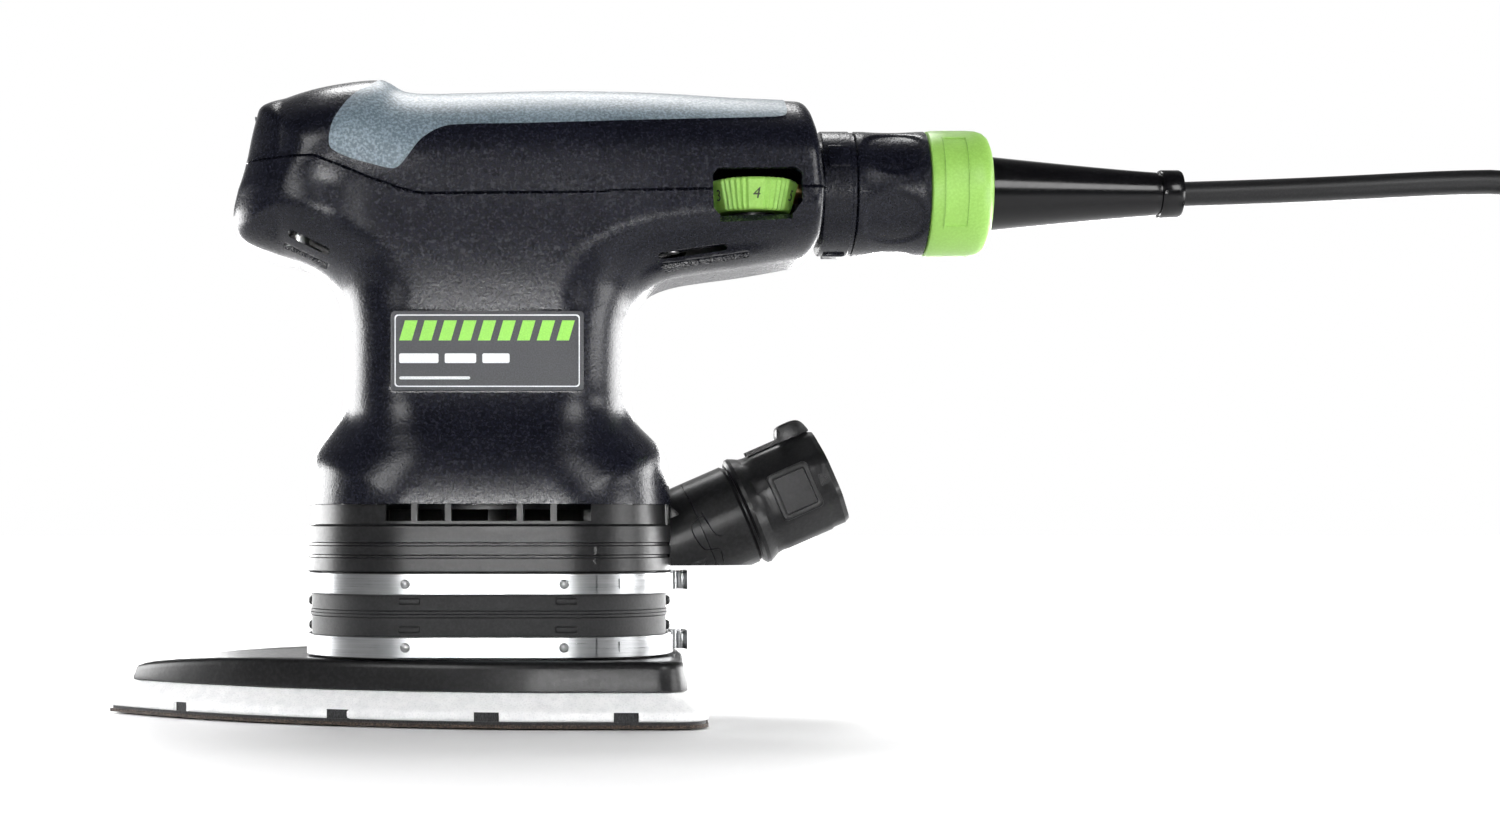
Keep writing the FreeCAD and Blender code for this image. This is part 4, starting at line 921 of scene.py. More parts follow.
NECK_LINES = [off_wall((8.0, 12.6), (5.2, 9.6), (8.3, 4.2), (12.3, 4.0), (13.6, 0.6)),
              off_wall((7.6, 13.4), (11.0, 8.0), (13.0, 7.4))]


def facets(share, count=8, phase=0.0):
    """A radius rule that turns a round section partly into one with flat sides."""
    half = math.pi / count

    def rule(radius, distance, angle):
        turned = (angle + phase) % (2 * half) - half
        flat = radius * math.cos(half) / math.cos(turned) * 1.04
        return radius + (min(flat, radius) - radius) * share(distance)
    return rule


def build_port_neck():
    neck = lathe("port_neck", [(12.0, -30), (PORT_RADIUS, -27), (PORT_RADIUS, -1.2), (12.4, -0.4),
                               (12.4, 0.0), (DUCT_RADIUS, 0.0), (DUCT_RADIUS, -30)], "black_plastic",
                 closed=True, count=96)
    seam = lathe("port_seam", [(13.5, -12.1), (13.5, -11.7), (12.7, -11.9)], None, closed=True, count=96)
    carve(neck, [seam])
    move(neck, PORT_FRAME)
    keep = box("port_keep", (PLAN_REAR - 0.2, -30, PORT_FLAT), (110, 30, 90))
    carve(neck, [keep], "INTERSECT")
    brace = prism("port_brace", off_wall((-0.1, 0), (8.5, 0), (9.5, 2.5), (3.2, 12), (-0.1, 15)),
                  -11.4, 11.4, "black_plastic")
    hollows = [prism(f"brace_hollow_{sign}", off_wall((1.0, 1.5), (5.6, 1.5), (1.2, 11.3)),
                     *span(sign, 9.8, 13)) for sign in (-1, 1)]
    carve(brace, [joined("brace_hollows", hollows)])
    soften(brace, 0.3, 2)
    lines = [raised_line(f"neck_line_{number}_{sign}", points, sign)
             for sign in (-1, 1) for number, points in enumerate(NECK_LINES)]
    attach(joined("dust_port_neck", [neck, brace] + lines), "black_plastic", "housing", "dust_port")


def raised_line(name, points, sign):
    """A fine raised line in the XZ plane that follows the round wall of the port's neck."""
    rings = []
    across = 0.28
    for x, z in smooth_line(points, 5):
        along_axis = Vector((x, 0, z)) - Vector(PORT_AT)
        lift = -along_axis.x * math.sin(PORT_TILT) + along_axis.z * math.cos(PORT_TILT)
        depth = math.sqrt(max(PORT_RADIUS ** 2 - lift ** 2, 4.0))
        near, far = sign * (depth - 0.4), sign * (depth + 0.28)
        rings.append([(x - across, near, z - across), (x, far, z), (x + across, near, z + across)])
    return loft(name, rings, "black_plastic")


def build_port_end():
    flat = facets(lambda distance: min(max((distance - 4.2) / 2.5, 0), 1) * 0.85, 8, math.pi / 8)
    outer = [(PORT_BORE, 0.0), (13.2, 0.0), (14.0, 0.7), (14.1, 1.6), (13.6, 2.7), (12.9, 4.0), (12.9, 5.4),
             (13.2, 6.8), (13.2, 18.6), (12.9, 19.4), (12.9, 22.4), (12.3, 23.6), (PORT_BORE, 23.6)]
    end = lathe("port_end", outer, "black_plastic", closed=True, count=128, radius_at=flat, sharp=24)
    bore = lathe("port_end_bore", [(PORT_BORE, -1), (PORT_BORE, 25)], None, count=96)
    panels, marks = [], []
    for sign in (-1, 1):
        low, high = span(sign, 12.1, 16)
        panels.append(box(f"port_panel_{sign}", (9.0, low, -4.6), (17.2, high, 4.8)))
        marks.append(prism(f"port_mark_{sign}", [(19.6, -1.4), (21.7, 0.0), (19.9, 1.5)], low, high))
    carve(end, [bore, joined("port_panels", panels), joined("port_marks", marks)], sharp=24)
    frames = []
    for sign in (-1, 1):
        outside = rounded_outline(7.6, 18.4, -6.0, 6.2, 1.2, 4)
        inside = rounded_outline(9.1, 17.1, -4.5, 4.7, 0.4, 4)
        rings = frame_rings(outside, inside, sign * 11.6, sign * 13.15)
        frames.append(soften(loft(f"port_frame_{sign}", rings, "black_plastic", closed=True), 0.25, 2))
    latch_outline = smooth_line([(15.2, 12.0), (15.0, 14.2), (15.9, 16.1), (17.6, 16.6), (20.6, 16.4),
                                 (22.2, 15.2), (23.2, 12.4)], 4)
    latch = prism("port_latch", [tuple(point) for point in latch_outline], -4.0, 4.0, "black_plastic")
    soften(latch, 0.45, 2)
    ribs = [box(f"port_rib_{number}", (6.4, -0.5 + shift, 12.4), (15.4, 0.5 + shift, 13.7), "black_plastic")
            for number, shift in enumerate((-3.4, 3.4))]
    whole = joined("dust_port_nozzle", [end, latch] + frames + ribs, 24)
    attach(move(whole, PORT_FRAME), "black_plastic", "housing", "dust_port_end")


# ---------------------------------------------------------------- sanding pad

PAD_TIP, PAD_REAR, PAD_HALF_WIDTH, PAD_CORNER = -95.8, 54.2, 50.0, 8.0
FOAM_LOW, FOAM_RIM, FOAM_TOP, FOAM_INSET = 1.5, 3.6, 8.0, 5.4
DUST_HOLES = [(-31, 18), (-31, -18), (0, 28), (0, -28), (28, 26), (28, -26), (-68, 0)]
PAD_SCREWS = [(-52, 14), (-52, -14), (32, 38), (32, -38)]
HUB_BORE, PAD_THROW = 14.0, 1       # the hub's bore, and its distance from the motor's axis


def arc_points(start, middle, end, steps):
    """Points of the arc through three, without its last one."""
    (ax, ay), (bx, by), (cx, cy) = start, middle, end
    d = 2 * (ax * (by - cy) + bx * (cy - ay) + cx * (ay - by))
    squares = [x * x + y * y for x, y in (start, middle, end)]
    ux = (squares[0] * (by - cy) + squares[1] * (cy - ay) + squares[2] * (ay - by)) / d
    uy = (squares[0] * (cx - bx) + squares[1] * (ax - cx) + squares[2] * (bx - ax)) / d
    radius = math.hypot(ax - ux, ay - uy)
    angles = [math.atan2(y - uy, x - ux) for x, y in (start, middle, end)]
    sweep = (angles[2] - angles[0]) % (2 * math.pi)
    if (angles[1] - angles[0]) % (2 * math.pi) > sweep:
        sweep -= 2 * math.pi
    return [(ux + radius * math.cos(angles[0] + sweep * step / steps),
             uy + radius * math.sin(angles[0] + sweep * step / steps)) for step in range(steps)]


def delta(inset):
    """The delta outline moved inwards: bowed sides, rounded rear corners and a slightly bowed back."""
    tip = (PAD_TIP + 1.3 * inset, 0)
    rear, wide = PAD_REAR - inset, PAD_HALF_WIDTH - inset
    bow = 1.2
    belly = (-40 + 0.4 * inset, -(37.5 - 0.9 * inset))
    knee = (12, -(wide - 0.4))
    edge = (rear - PAD_CORNER - 1, -wide)
    turned = (rear - bow, -(wide - PAD_CORNER))
    middle = (rear - bow - 0.3 * PAD_CORNER, -(wide - 0.22 * PAD_CORNER))
    near = arc_points(tip, belly, knee, 60)
    near += [(knee[0] + (edge[0] - knee[0]) * step / 14, knee[1] + (edge[1] - knee[1]) * step / 14)
             for step in range(14)]
    near += arc_points(edge, middle, turned, 12)
    back = arc_points(turned, (rear, 0), (turned[0], -turned[1]), 40)
    far = [(x, -y) for x, y in near[1:]][::-1]
    return near + back + [(turned[0], -turned[1])] + far


def delta_loft(name, levels, look, sharp=35):
    """Skins the delta outline through (inset, height) levels. A height may be a rule of x."""
    rings = []
    for inset, height in levels:
        rings.append([(x, y, height(x) if callable(height) else height) for x, y in delta(inset)])
    return loft(name, rings, look, sharp=sharp)


def round_cutters(name, places, radius, low, high):
    return joined(name, [move(lathe(f"{name}_{x}_{y}", [(radius, low), (radius, high)], None, count=32),
                              shift(x, y) @ UPRIGHT)
                         for x, y in places])


# (x, half width, turn in degrees) of the notches in the foam's lower edge
RIM_NOTCHES = [(-76, 19.5, 28), (-34, 38, 14), (1.1, 47, 4), (33.6, 50, 0)]


def build_foam():
    """The foam body, its holes and dark velour blocks set 0.7 mm inside the notches of its lower edge."""
    levels = [(0.5, FOAM_LOW), (0.1, FOAM_LOW + 0.3), (0, FOAM_LOW + 0.8), (0, FOAM_RIM - 0.35),
              (0.35, FOAM_RIM + 0.25), (1.3, 4.45), (3.2, 6.1), (FOAM_INSET - 0.5, 7.6),
              (FOAM_INSET, FOAM_TOP)]
    foam = delta_loft("sanding_foam", levels, "foam", 50)
    notches, blocks = [], []
    for x, y, turn in RIM_NOTCHES:
        for sign in (-1, 1):
            place = shift(x, sign * y) @ Matrix.Rotation(math.radians(-sign * turn), 4, "Z")
            notches.append(move(box(f"rim_notch_{x}_{sign}", (-2.9, -3, FOAM_LOW - 0.6),
                                    (2.9, 3, FOAM_LOW + 2.2)), place))
            blocks.append(move(box(f"rim_block_{x}_{sign}", (-2.85, -2.95, FOAM_LOW + 0.02),
                                   (2.85, 2.95, FOAM_LOW + 2.15), "velour"), place))
    cutters = [joined("rim_notches", notches), round_cutters("foam_holes", DUST_HOLES, 4.0, -1, 12),
               round_cutters("foam_screw_holes", PAD_SCREWS, 4.2, -1, 12)]
    carve(foam, cutters, sharp=50)
    attach(foam, "foam", "pad", "sanding_pad")
    limit = delta_loft("rim_block_limit", [(0.7, FOAM_LOW - 0.5), (0.7, FOAM_LOW + 3)], "velour", 50)
    blocks = carve(joined("pad_rim_blocks", blocks), [limit], "INTERSECT", 50)
    attach(blocks, "velour", "pad", "sanding_pad")


def build_carrier():
    """The hard carrier plate with its domed tip, its spigot for the sleeve and its bearing hub."""
    slope_places, slope_heights = zip((-110, 11.0), (-89.5, 11.9), (-84, 13.0), (-76, 13.9), (-66, 14.6),
                                      (-56, 15.0), (-46, 15.2), (60, 15.2))

    def top(drop_by):
        return lambda x: float(np.interp(x, slope_places, slope_heights)) - drop_by

    levels = [(4.9, FOAM_TOP), (4.6, FOAM_TOP + 0.25), (4.6, FOAM_TOP + 1.0), (4.95, top(1.9)),
              (5.15, top(0.9)), (5.6, top(0.35)), (6.6, top(0.05)), (9.0, top(0.0)), (14.0, top(-0.02))]
    plate = delta_loft("carrier_plate", levels, "black_plastic", 40)
    bore = move(lathe("carrier_bore", [(HUB_BORE, 6), (HUB_BORE, 20)], None, count=64),
                shift(PAD_THROW) @ UPRIGHT)
    carve(plate, [bore, round_cutters("carrier_holes", DUST_HOLES[:6], 4.0, 5, 18),
                  round_cutters("carrier_screws", PAD_SCREWS, 2.05, 5, 13.8)], sharp=40)
    neck = ring("carrier_neck", [(5.6, 15), (3.6, 15), (3.6, 24.2), (3.9, 24.5), (5.6, 24.5)],
                "black_plastic")
    hub = lathe("carrier_hub", [(HUB_BORE, 14.6), (17.2, 14.6), (17.2, 21.9), (16.9, 22.2),
                                (HUB_BORE, 22.2)], "black_plastic", closed=True)
    move(hub, shift(PAD_THROW) @ UPRIGHT)
    attach(joined("pad_carrier_plate", [plate, neck, hub], 40), "black_plastic", "pad", "pad_carrier")


# ---------------------------------------------------------------- supply plug

PLUG_Z = 131.0
PLUG_FRAME = shift(z=PLUG_Z)


PIN_Y = 5                  # half the distance between the two contacts
COLLAR_LOW, COLLAR_HIGH, COLLAR_RADIUS = 92.0, 110.0, 15.6
COLLAR_HOLLOWS, HOLLOW_AT, HOLLOW_DEPTH = 5, 101.4, 0.5
HOLLOW_ANGLE = 141         # the angle of one of the collar's hollows, in degrees


def on_plug(piece):
    return move(piece, PLUG_FRAME)


def pin_drills(name, radius, low, high):
    """Cutters for the two contacts."""
    return joined(name, [move(lathe(f"{name}_{y}", [(radius, low), (radius, high)], None, count=24),
                              shift(0, y)) for y in (-PIN_Y, PIN_Y)])


def build_inlet():
    profile = [(11.9, 81.0), (13.4, 81.0), (13.4, 83.4), (15.3, 83.4), (15.65, 83.75), (15.65, 90.6),
               (15.35, 90.9), (15.35, 91.6), (15.1, 91.8), (11.9, 91.8)]
    sleeve = lathe("inlet_sleeve", profile, "navy_shell", closed=True, count=128)
    tabs = []
    for angle in (-62, 62, 180):
        tab = rounded_box(f"inlet_tab_{angle}", (84.6, -3.2, 15.2), (90.0, 3.2, 16.1), 0.3, "navy_shell")
        tabs.append(move(tab, Matrix.Rotation(math.radians(angle), 4, "X")))
    floor = lathe("inlet_floor", [(0.1, 79.0), (13.4, 79.0), (13.4, 81.1), (0.1, 81.1)], "black_plastic")
    carve(floor, [pin_drills("pin_drills", 1.76, 70, 90)])
    arrow = prism("inlet_arrow", [(86.2, -1.5), (88.4, 0.0), (86.2, 1.5)], -15.95, -15.4, "navy_shell")
    attach(on_plug(joined("inlet_housing", [sleeve, floor, arrow] + tabs)), "navy_shell", "housing",
           "power_inlet")


def scallop(radius, distance, angle):
    """Long oval thumb hollows around the collar."""
    pitch = 2 * math.pi / COLLAR_HOLLOWS
    off_middle = ((angle - math.radians(HOLLOW_ANGLE)) / pitch + 0.5) % 1 - 0.5
    across = off_middle * pitch * COLLAR_RADIUS
    reach = (across / 7.6) ** 2 + ((distance - HOLLOW_AT) / 8.0) ** 2
    edge = min(max((1.1 - reach) / 0.4, 0), 1)
    smooth = edge * edge * (3 - 2 * edge)
    return radius - (HOLLOW_DEPTH * smooth if radius > 14 else 0)


def build_collar():
    low, high = COLLAR_LOW, COLLAR_HIGH
    outer = [(11.65, low), (15.35, low), (COLLAR_RADIUS, low + 0.25)]
    steps = 44
    for step in range(steps + 1):
        distance = low + 0.8 + (high - low - 1.6) * step / steps
        waist = 0.28 * math.sin(math.pi * min(max((distance - 94) / 14.5, 0), 1))
        outer.append((COLLAR_RADIUS - waist, distance))
    outer += [(COLLAR_RADIUS, high - 0.25), (15.35, high), (11.65, high)]
    collar = lathe("collar", outer, "navy_shell", closed=True, count=240, radius_at=scallop, sharp=30)
    marks = []
    for angle in (0, 180):
        mark = rounded_box(f"collar_mark_{angle}", (93.0, -0.45, 15.3), (95.4, 0.45, 15.85), 0.15,
                           "navy_shell")
        marks.append(move(mark, Matrix.Rotation(math.radians(angle + 96), 4, "X")))
    attach(on_plug(joined("locking_collar_grip", [collar] + marks, 30)), "navy_shell", "collar",
           "locking_collar")


def build_plug():
    core = lathe("plug_core", [(8.0, 84.0), (11.1, 84.0), (11.6, 84.6), (11.6, 110.4), (8.0, 110.4)],
                 "black_plastic", closed=True, count=96)
    face = lathe("plug_face", [(0.1, 82.0), (10.9, 82.0), (11.6, 82.7), (11.6, 86.0), (0.1, 86.0)],
                 "black_plastic")
    carve(face, [pin_drills("contact_drills", 2.3, 70, 94)])
    ring_profile = [(9.6, 110.25), (15.2, 110.25), (15.62, 110.6), (15.8, 111.4), (15.85, 114.5),
                    (15.85, 120.5), (15.7, 122.6), (15.2, 124.2), (14.3, 125.3), (13.0, 125.9), (11.4, 126.0),
                    (9.6, 126.0)]
    coloured = lathe("plug_ring", ring_profile, "green_plastic", closed=True, count=144, sharp=30)
    panel = panel_on_ring()
    attach(on_plug(joined("plug_housing", [core, face, coloured, panel], 30)), "green_plastic", "plug",
           "plug_body")


PANEL_ROOT, PANEL_TOP = 15.7, 16.08         # radii


def panel_on_ring():
    """A plain raised frame on the coloured ring, where the real one carries a word."""
    outside, inside = (113.4, 119.8), (114.0, 119.2)
    start, finish, end_sweep = math.radians(-40), math.radians(54), 0.04
    bars = [(outside[0], inside[0], np.linspace(start, finish, 40)),
            (inside[1], outside[1], np.linspace(start, finish, 40))]
    bars += [(*outside, (angle, angle + end_sweep)) for angle in (start, finish - end_sweep)]
    pieces = []
    for number, (low, high, angles) in enumerate(bars):
        rings = [[(low, *turned(PANEL_ROOT, angle)), (low, *turned(PANEL_TOP, angle)),
                  (high, *turned(PANEL_TOP, angle)), (high, *turned(PANEL_ROOT, angle))] for angle in angles]
        pieces.append(loft(f"panel_bar_{number}", rings, "green_plastic"))
    return joined("ring_panel", pieces, 30)


def turned(radius, angle):
    """(y, z) at a radius on the plug, at an angle up from the -Y side."""
    return -radius * math.cos(angle), radius * math.sin(angle)


def build_relief():
    profile = [(0.1, 118.0), (8.0, 118.0), (8.0, 125.6), (9.0, 125.9), (9.45, 126.3)]
    for step in range(1, 25):
        share = step / 24
        profile.append((9.45 + (5.5 - 9.45) * (1 - (1 - share) ** 1.12), 126.3 + 42.6 * share))
    profile += [(5.35, 169.3), (5.35, 169.7), (5.9, 169.9), (6.05, 170.3), (6.05, 174.6), (5.75, 175.2),
                (5.2, 175.4), (3.15, 175.4), (3.15, 171), (0.1, 171)]
    relief = lathe("relief_sleeve", profile, "glossy_black", count=96, sharp=30)
    attach(on_plug(relief), "glossy_black", "plug", "strain_relief")
    return relief


# ---------------------------------------------------------------- supply cord and mains plug

LEAD = [(175.4, 0, 131), (196, 0, 131.6), (220, 0, 132.7), (244, 0, 134), (264, 0.2, 134.2),
        (279.5, 0.9, 127), (291, 2, 113), (298, 3.4, 95.5), (301.5, 4.9, 75.5), (304, 6.3, 55.5),
        (308.5, 7.5, 36.5), (317.5, 8.4, 20.5), (330.5, 9, 9), (345.5, 9.1, 3.2)]
TAIL = [(335.8, -3.4, 21.7), (354.2, -3.4, 22.0), (370.3, -12.6, 24.2), (379.5, -28.7, 27.9),
        (379.5, -47.1, 30.6), (370.3, -63.2, 33.3), (354.2, -72.4, 35.6), (335.8, -72.4, 37.1)]
CORD_DIAMETER, CORD_LENGTH = 6.2, 4.0
COIL_CENTRE, COIL_OUTER, COIL_INNER = (345.0, -45.0), 54.15, 29.25
COIL_STEPS, COIL_CLIMB_STEPS, COIL_LAST_TURNS = 16, 3, 1.65
COIL_PITCH, COIL_LIFT = 6.22, 0.02


def coil_points():
    """Layers of turns side by side, wound in and out by turns, clockwise seen from above."""
    points = []
    columns = (COIL_OUTER - COIL_INNER) / COIL_PITCH
    radius, direction, step_number = COIL_OUTER, -1, 0
    for layer, turns in enumerate((columns, columns, columns, COIL_LAST_TURNS)):
        count = round(turns * COIL_STEPS)
        for step in range(count + 1):
            settled = min(step / COIL_CLIMB_STEPS, 1) if layer else 1.0
            height = CORD_DIAMETER * (layer - 0.5 + settled)
            angle = math.radians(90) - 2 * math.pi * step_number / COIL_STEPS
            points.append((COIL_CENTRE[0] + radius * math.cos(angle),
                           COIL_CENTRE[1] + radius * math.sin(angle), height + COIL_LIFT))
            step_number += 1
            if step < count:
                radius += direction * COIL_PITCH / COIL_STEPS
        direction = -direction
    return points


def build_cord(relief):
    line = bpy.data.curves.new("supply_cord", "CURVE")
    line.dimensions = "3D"
    spline = line.splines.new("NURBS")
    points = LEAD + coil_points()[1:] + TAIL
    spline.points.add(len(points) - 1)
    for spot, place in zip(spline.points, points):
        spot.co = (*[value * MM for value in place], 1)
    spline.order_u = 3
    spline.use_endpoint_u = True
    line.bevel_depth = CORD_DIAMETER / 2 * MM
    line.bevel_resolution = 5
    line.use_fill_caps = True
    spline.resolution_u = 3
    cord = bpy.data.objects.new("supply_cord", line)
    bpy.context.scene.collection.objects.link(cord)
    line.materials.append(LOOKS["cord"])
    case, pins = build_mains_plug()
    attach(cord, "cord", "plug", "cord_lead", "cord_coil", "cord_tail")


def build_mains_plug():
    """A moulded two-pin plug with a waist for the fingers and insulated pin roots."""
    low, high = low_high("mains_plug")
    middle = (low + high) / 2
    half_y, half_z = (high[1] - low[1]) / 2, (high[2] - low[2]) / 2
    stations = [(high[0], 0.34, 0.45), (high[0] - 0.7, 0.4, 0.55), (high[0] - 8, 0.52, 0.68),
                (high[0] - 15, 0.66, 0.8), (high[0] - 22, 0.8, 0.88), (high[0] - 28, 0.93, 0.96),
                (low[0] + 8, 1.0, 1.0), (low[0] + 1.0, 1.0, 1.0), (low[0] + 0.25, 0.975, 0.97),
                (low[0], 0.94, 0.93)]

    def section(x, wide, tall, rise=0.0):
        across, up = half_y * wide, half_z * tall
        outline = rounded_outline(-across - rise, across + rise, -up - rise, up + rise,
                                  min(across, up) * 0.72, 8)
        return [(x, middle[1] + a, middle[2] + b) for a, b in outline]

    case = loft("mains_plug_case", [section(*station) for station in stations], "cord", sharp=40)
    ridges = []
    for number in range(5):
        x = high[0] - 9 - 2.6 * number
        wide = float(np.interp(x, [high[0] - 22, high[0] - 8], [0.8, 0.52]))
        tall = float(np.interp(x, [high[0] - 22, high[0] - 8], [0.88, 0.68]))
        rings = [section(x + along_x, wide, tall, rise)
                 for along_x, rise in ((-0.8, -0.4), (-0.45, 0.35), (0.45, 0.35), (0.8, -0.4))]
        ridges.append(loft(f"plug_ridge_{number}", rings, "cord"))
    case = joined("mains_plug_body", [case] + ridges, 40)
    attach(case, "cord", "plug", "mains_plug")
    pin_low, pin_high = low_high("mains_plug_pins")
    radius = (pin_high[2] - pin_low[2]) / 2
    pins = []
    for sign in (-1, 1):
        y = sign * ((pin_high[1] - pin_low[1]) / 2 - radius)
        metal_part = lathe(f"pin_tip_{sign}", [(0.1, 0.0), (radius * 0.5, 0.15), (radius * 0.85, 0.8),
                                               (radius, 1.8), (radius, 9.6), (0.1, 9.6)], "brass", count=32)
        sheath = lathe(f"pin_sheath_{sign}", [(0.1, 9.5), (radius, 9.5), (radius, 19.0), (0.1, 19.0)],
                       "cord", count=32)
        for piece in (metal_part, sheath):
            pins.append(move(piece, shift(pin_low[0], middle[1] + y, middle[2])))
    pins = joined("mains_plug_pin_pair", pins)
    attach(pins, "brass", "plug", "mains_plug_pins")
    return case, pins


# ---------------------------------------------------------------- controls and badge

DIAL_AT, DIAL_LOW, DIAL_HIGH, DIAL_RADIUS, DIAL_LOW_RADIUS = (65.5, -18.3), 123.4, 131.1, 11.0, 9.4
DIAL_NUMBERS, DIAL_SHOWN, DIAL_STEP_ANGLE = 6, 4, 60.0
DIAL_PLAIN, DIAL_RIB, DIAL_RIB_DEPTH = 10.0, 8.0, 0.25     # degrees, degrees, mm


def dial_rib(radius, distance, angle):
    """Upright ribs between the plain fields that carry the numbers."""
    if radius < 6:
        return radius
    degrees = math.degrees(angle) % 360
    field = (degrees + DIAL_STEP_ANGLE / 2) % DIAL_STEP_ANGLE - DIAL_STEP_ANGLE / 2
    if abs(field) < DIAL_PLAIN:
        return radius - 0.1
    wave = math.cos((abs(field) - DIAL_PLAIN) * 2 * math.pi / DIAL_RIB)
    return radius - DIAL_RIB_DEPTH + DIAL_RIB_DEPTH * wave


def build_dial():
    profile = [(0.1, DIAL_LOW), (DIAL_LOW_RADIUS - 0.7, DIAL_LOW), (DIAL_LOW_RADIUS - 0.15, DIAL_LOW + 0.35)]
    for step in range(9):
        share = step / 8
        profile.append((DIAL_LOW_RADIUS + (DIAL_RADIUS - DIAL_LOW_RADIUS) * share,
                        DIAL_LOW + 0.8 + (DIAL_HIGH - DIAL_LOW - 1.6) * share))
    profile += [(DIAL_RADIUS - 0.2, DIAL_HIGH - 0.35), (DIAL_RADIUS - 0.8, DIAL_HIGH), (4.2, DIAL_HIGH),
                (3.9, DIAL_HIGH - 0.6), (0.1, DIAL_HIGH - 0.6)]
    body = lathe("dial_body", profile, "green_plastic", count=360, radius_at=dial_rib, sharp=28)
    move(body, shift(*DIAL_AT) @ UPRIGHT)
    numbers = [dial_number(number, (number - DIAL_SHOWN) * DIAL_STEP_ANGLE)
               for number in range(1, DIAL_NUMBERS + 1)]
    attach(joined("speed_dial_wheel", [body] + numbers, 28), "green_plastic", "dial", "speed_dial")


def dial_number(number, degrees):
    """A digit wrapped on the dial's cone, at an angle from the -Y side."""
    text = bpy.data.curves.new(f"digit_{number}", "FONT")
    text.body = str(number)
    text.size = 3.8 * MM
    text.extrude = 0.06 * MM
    text.shear = 0.18
    text.align_x = "CENTER"
    text.align_y = "CENTER"
    holder = bpy.data.objects.new(f"digit_{number}", text)
    bpy.context.scene.collection.objects.link(holder)
    graph = bpy.context.evaluated_depsgraph_get()
    mesh = bpy.data.meshes.new_from_object(holder.evaluated_get(graph))
    bpy.data.objects.remove(holder)
    bpy.data.curves.remove(text)
    middle = (DIAL_LOW + DIAL_HIGH) / 2
    for vert in mesh.vertices:
        across, up, out = vert.co / MM
        height = middle + up - 0.2
        radius = float(np.interp(height, [DIAL_LOW, DIAL_HIGH], [DIAL_LOW_RADIUS, DIAL_RADIUS]))
        angle = math.radians(degrees) + across / radius
        reach = radius - 0.02 + out
        vert.co = Vector((DIAL_AT[0] + reach * math.sin(angle), DIAL_AT[1] - reach * math.cos(angle),
                          height)) * MM
    mesh.materials.clear()
    mesh.materials.append(LOOKS["dark_ink"])
    piece = bpy.data.objects.new(f"digit_mesh_{number}", mesh)
    bpy.context.scene.collection.objects.link(piece)
    return piece


ROCKER_PIVOT = (-53.6, 144.8)       # (x, height)


def build_rocker():
    """A rocker with a hollow face, its pivot and the mark for on."""
    low, _ = low_high("switch_rocker")
    pivot_x, middle = ROCKER_PIVOT
    half = 4.75
    outline = []
    for step in range(25):
        share = step / 24 * 2 - 1
        hollow = 0.95 * math.cos(share * math.pi / 2) ** 2
        outline.append((low[0] + 0.15 + hollow + 0.25 * share, middle + half * share))
    outline += [(pivot_x + 1.2, middle + 2.6), (pivot_x + 1.2, middle - 2.6)]
    rocker = prism("rocker", outline, -6.55, 6.55, "glossy_black")
    soften(rocker, 0.4, 3, 40)
    axle = lathe("rocker_axle", [(0.1, -6.6), (2.2, -6.6), (2.2, 6.6), (0.1, 6.6)], "glossy_black",
                 count=32)
    move(axle, shift(pivot_x, 0, middle) @ Matrix.Rotation(math.pi / 2, 4, "Z"))
    bar = rounded_box("rocker_bar", (low[0] + 0.2, -0.3, middle + 1.6), (low[0] + 1.0, 0.3, middle + 3.6),
                      0.1, "pale_ink", 1)
    attach(joined("switch_rocker_button", [rocker, axle, bar]), "glossy_black", "rocker", "switch_rocker")


def build_badge():
    """The plate on the barrel: a fine pale outline and plain bars in place of words."""
    low, high = low_high("badge_plate")
    front = low[1]
    plate_outline = rounded_outline(low[0], high[0], low[2], high[2], 0.9, 6)
    rings = [[(x, y, z) for x, z in plate_outline] for y in (high[1], front + 0.12)]
    inner = rounded_outline(low[0] + 0.12, high[0] - 0.12, low[2] + 0.12, high[2] - 0.12, 0.8, 6)
    rings.append([(x, front, z) for x, z in inner])
    pieces = [loft("badge_blank", rings, "badge", sharp=30)]
    left, right, bottom, top = low[0] + 0.9, high[0] - 0.9, low[2] + 0.9, high[2] - 0.9
    outside, inside = (rounded_outline(left + shift, right - shift, bottom + shift, top - shift, 0.8, 6)
                       for shift in (0, 0.26))
    pieces.append(loft("badge_frame", frame_rings(outside, inside, front + 0.02, front - 0.09), "pale_ink",
                       closed=True))
    bars = [("pale_ink", 2.0, 11.4, 6.6, 8.9), ("pale_ink", 12.9, 20.4, 6.6, 8.9),
            ("pale_ink", 21.9, 28.4, 6.6, 8.9), ("pale_ink", 2.0, 19.0, 2.7, 3.4)]
    for number in range(9):
        start = low[0] + 2.0 + 4.7 * number
        slanted = [(start, low[2] + 12.0), (start + 3.0, low[2] + 12.0), (start + 4.4, low[2] + 16.8),
                   (start + 1.4, low[2] + 16.8)]
        pieces.append(prism(f"badge_stripe_{number}", slanted, front - 0.1, front + 0.05, "green_ink"))
    for number, (ink, start, end, bar_low, bar_high) in enumerate(bars):
        outline = rounded_outline(low[0] + start, low[0] + end, low[2] + bar_low, low[2] + bar_high, 0.4, 4)
        pieces.append(prism(f"badge_bar_{number}", outline, front - 0.1, front + 0.05, ink))
    attach(joined("badge_face", pieces, 30), "badge", "housing", "badge_plate")


# ---------------------------------------------------------------- pieces that keep their CAD shape


def dress_cad_nodes():
    """Every CAD node that stays visible gets the procedural material of its slot."""
    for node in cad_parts.values():
        slot = node.data.materials[0].name.split(".")[0]
        node.data.materials.clear()
        node.data.materials.append(LOOKS[slot])


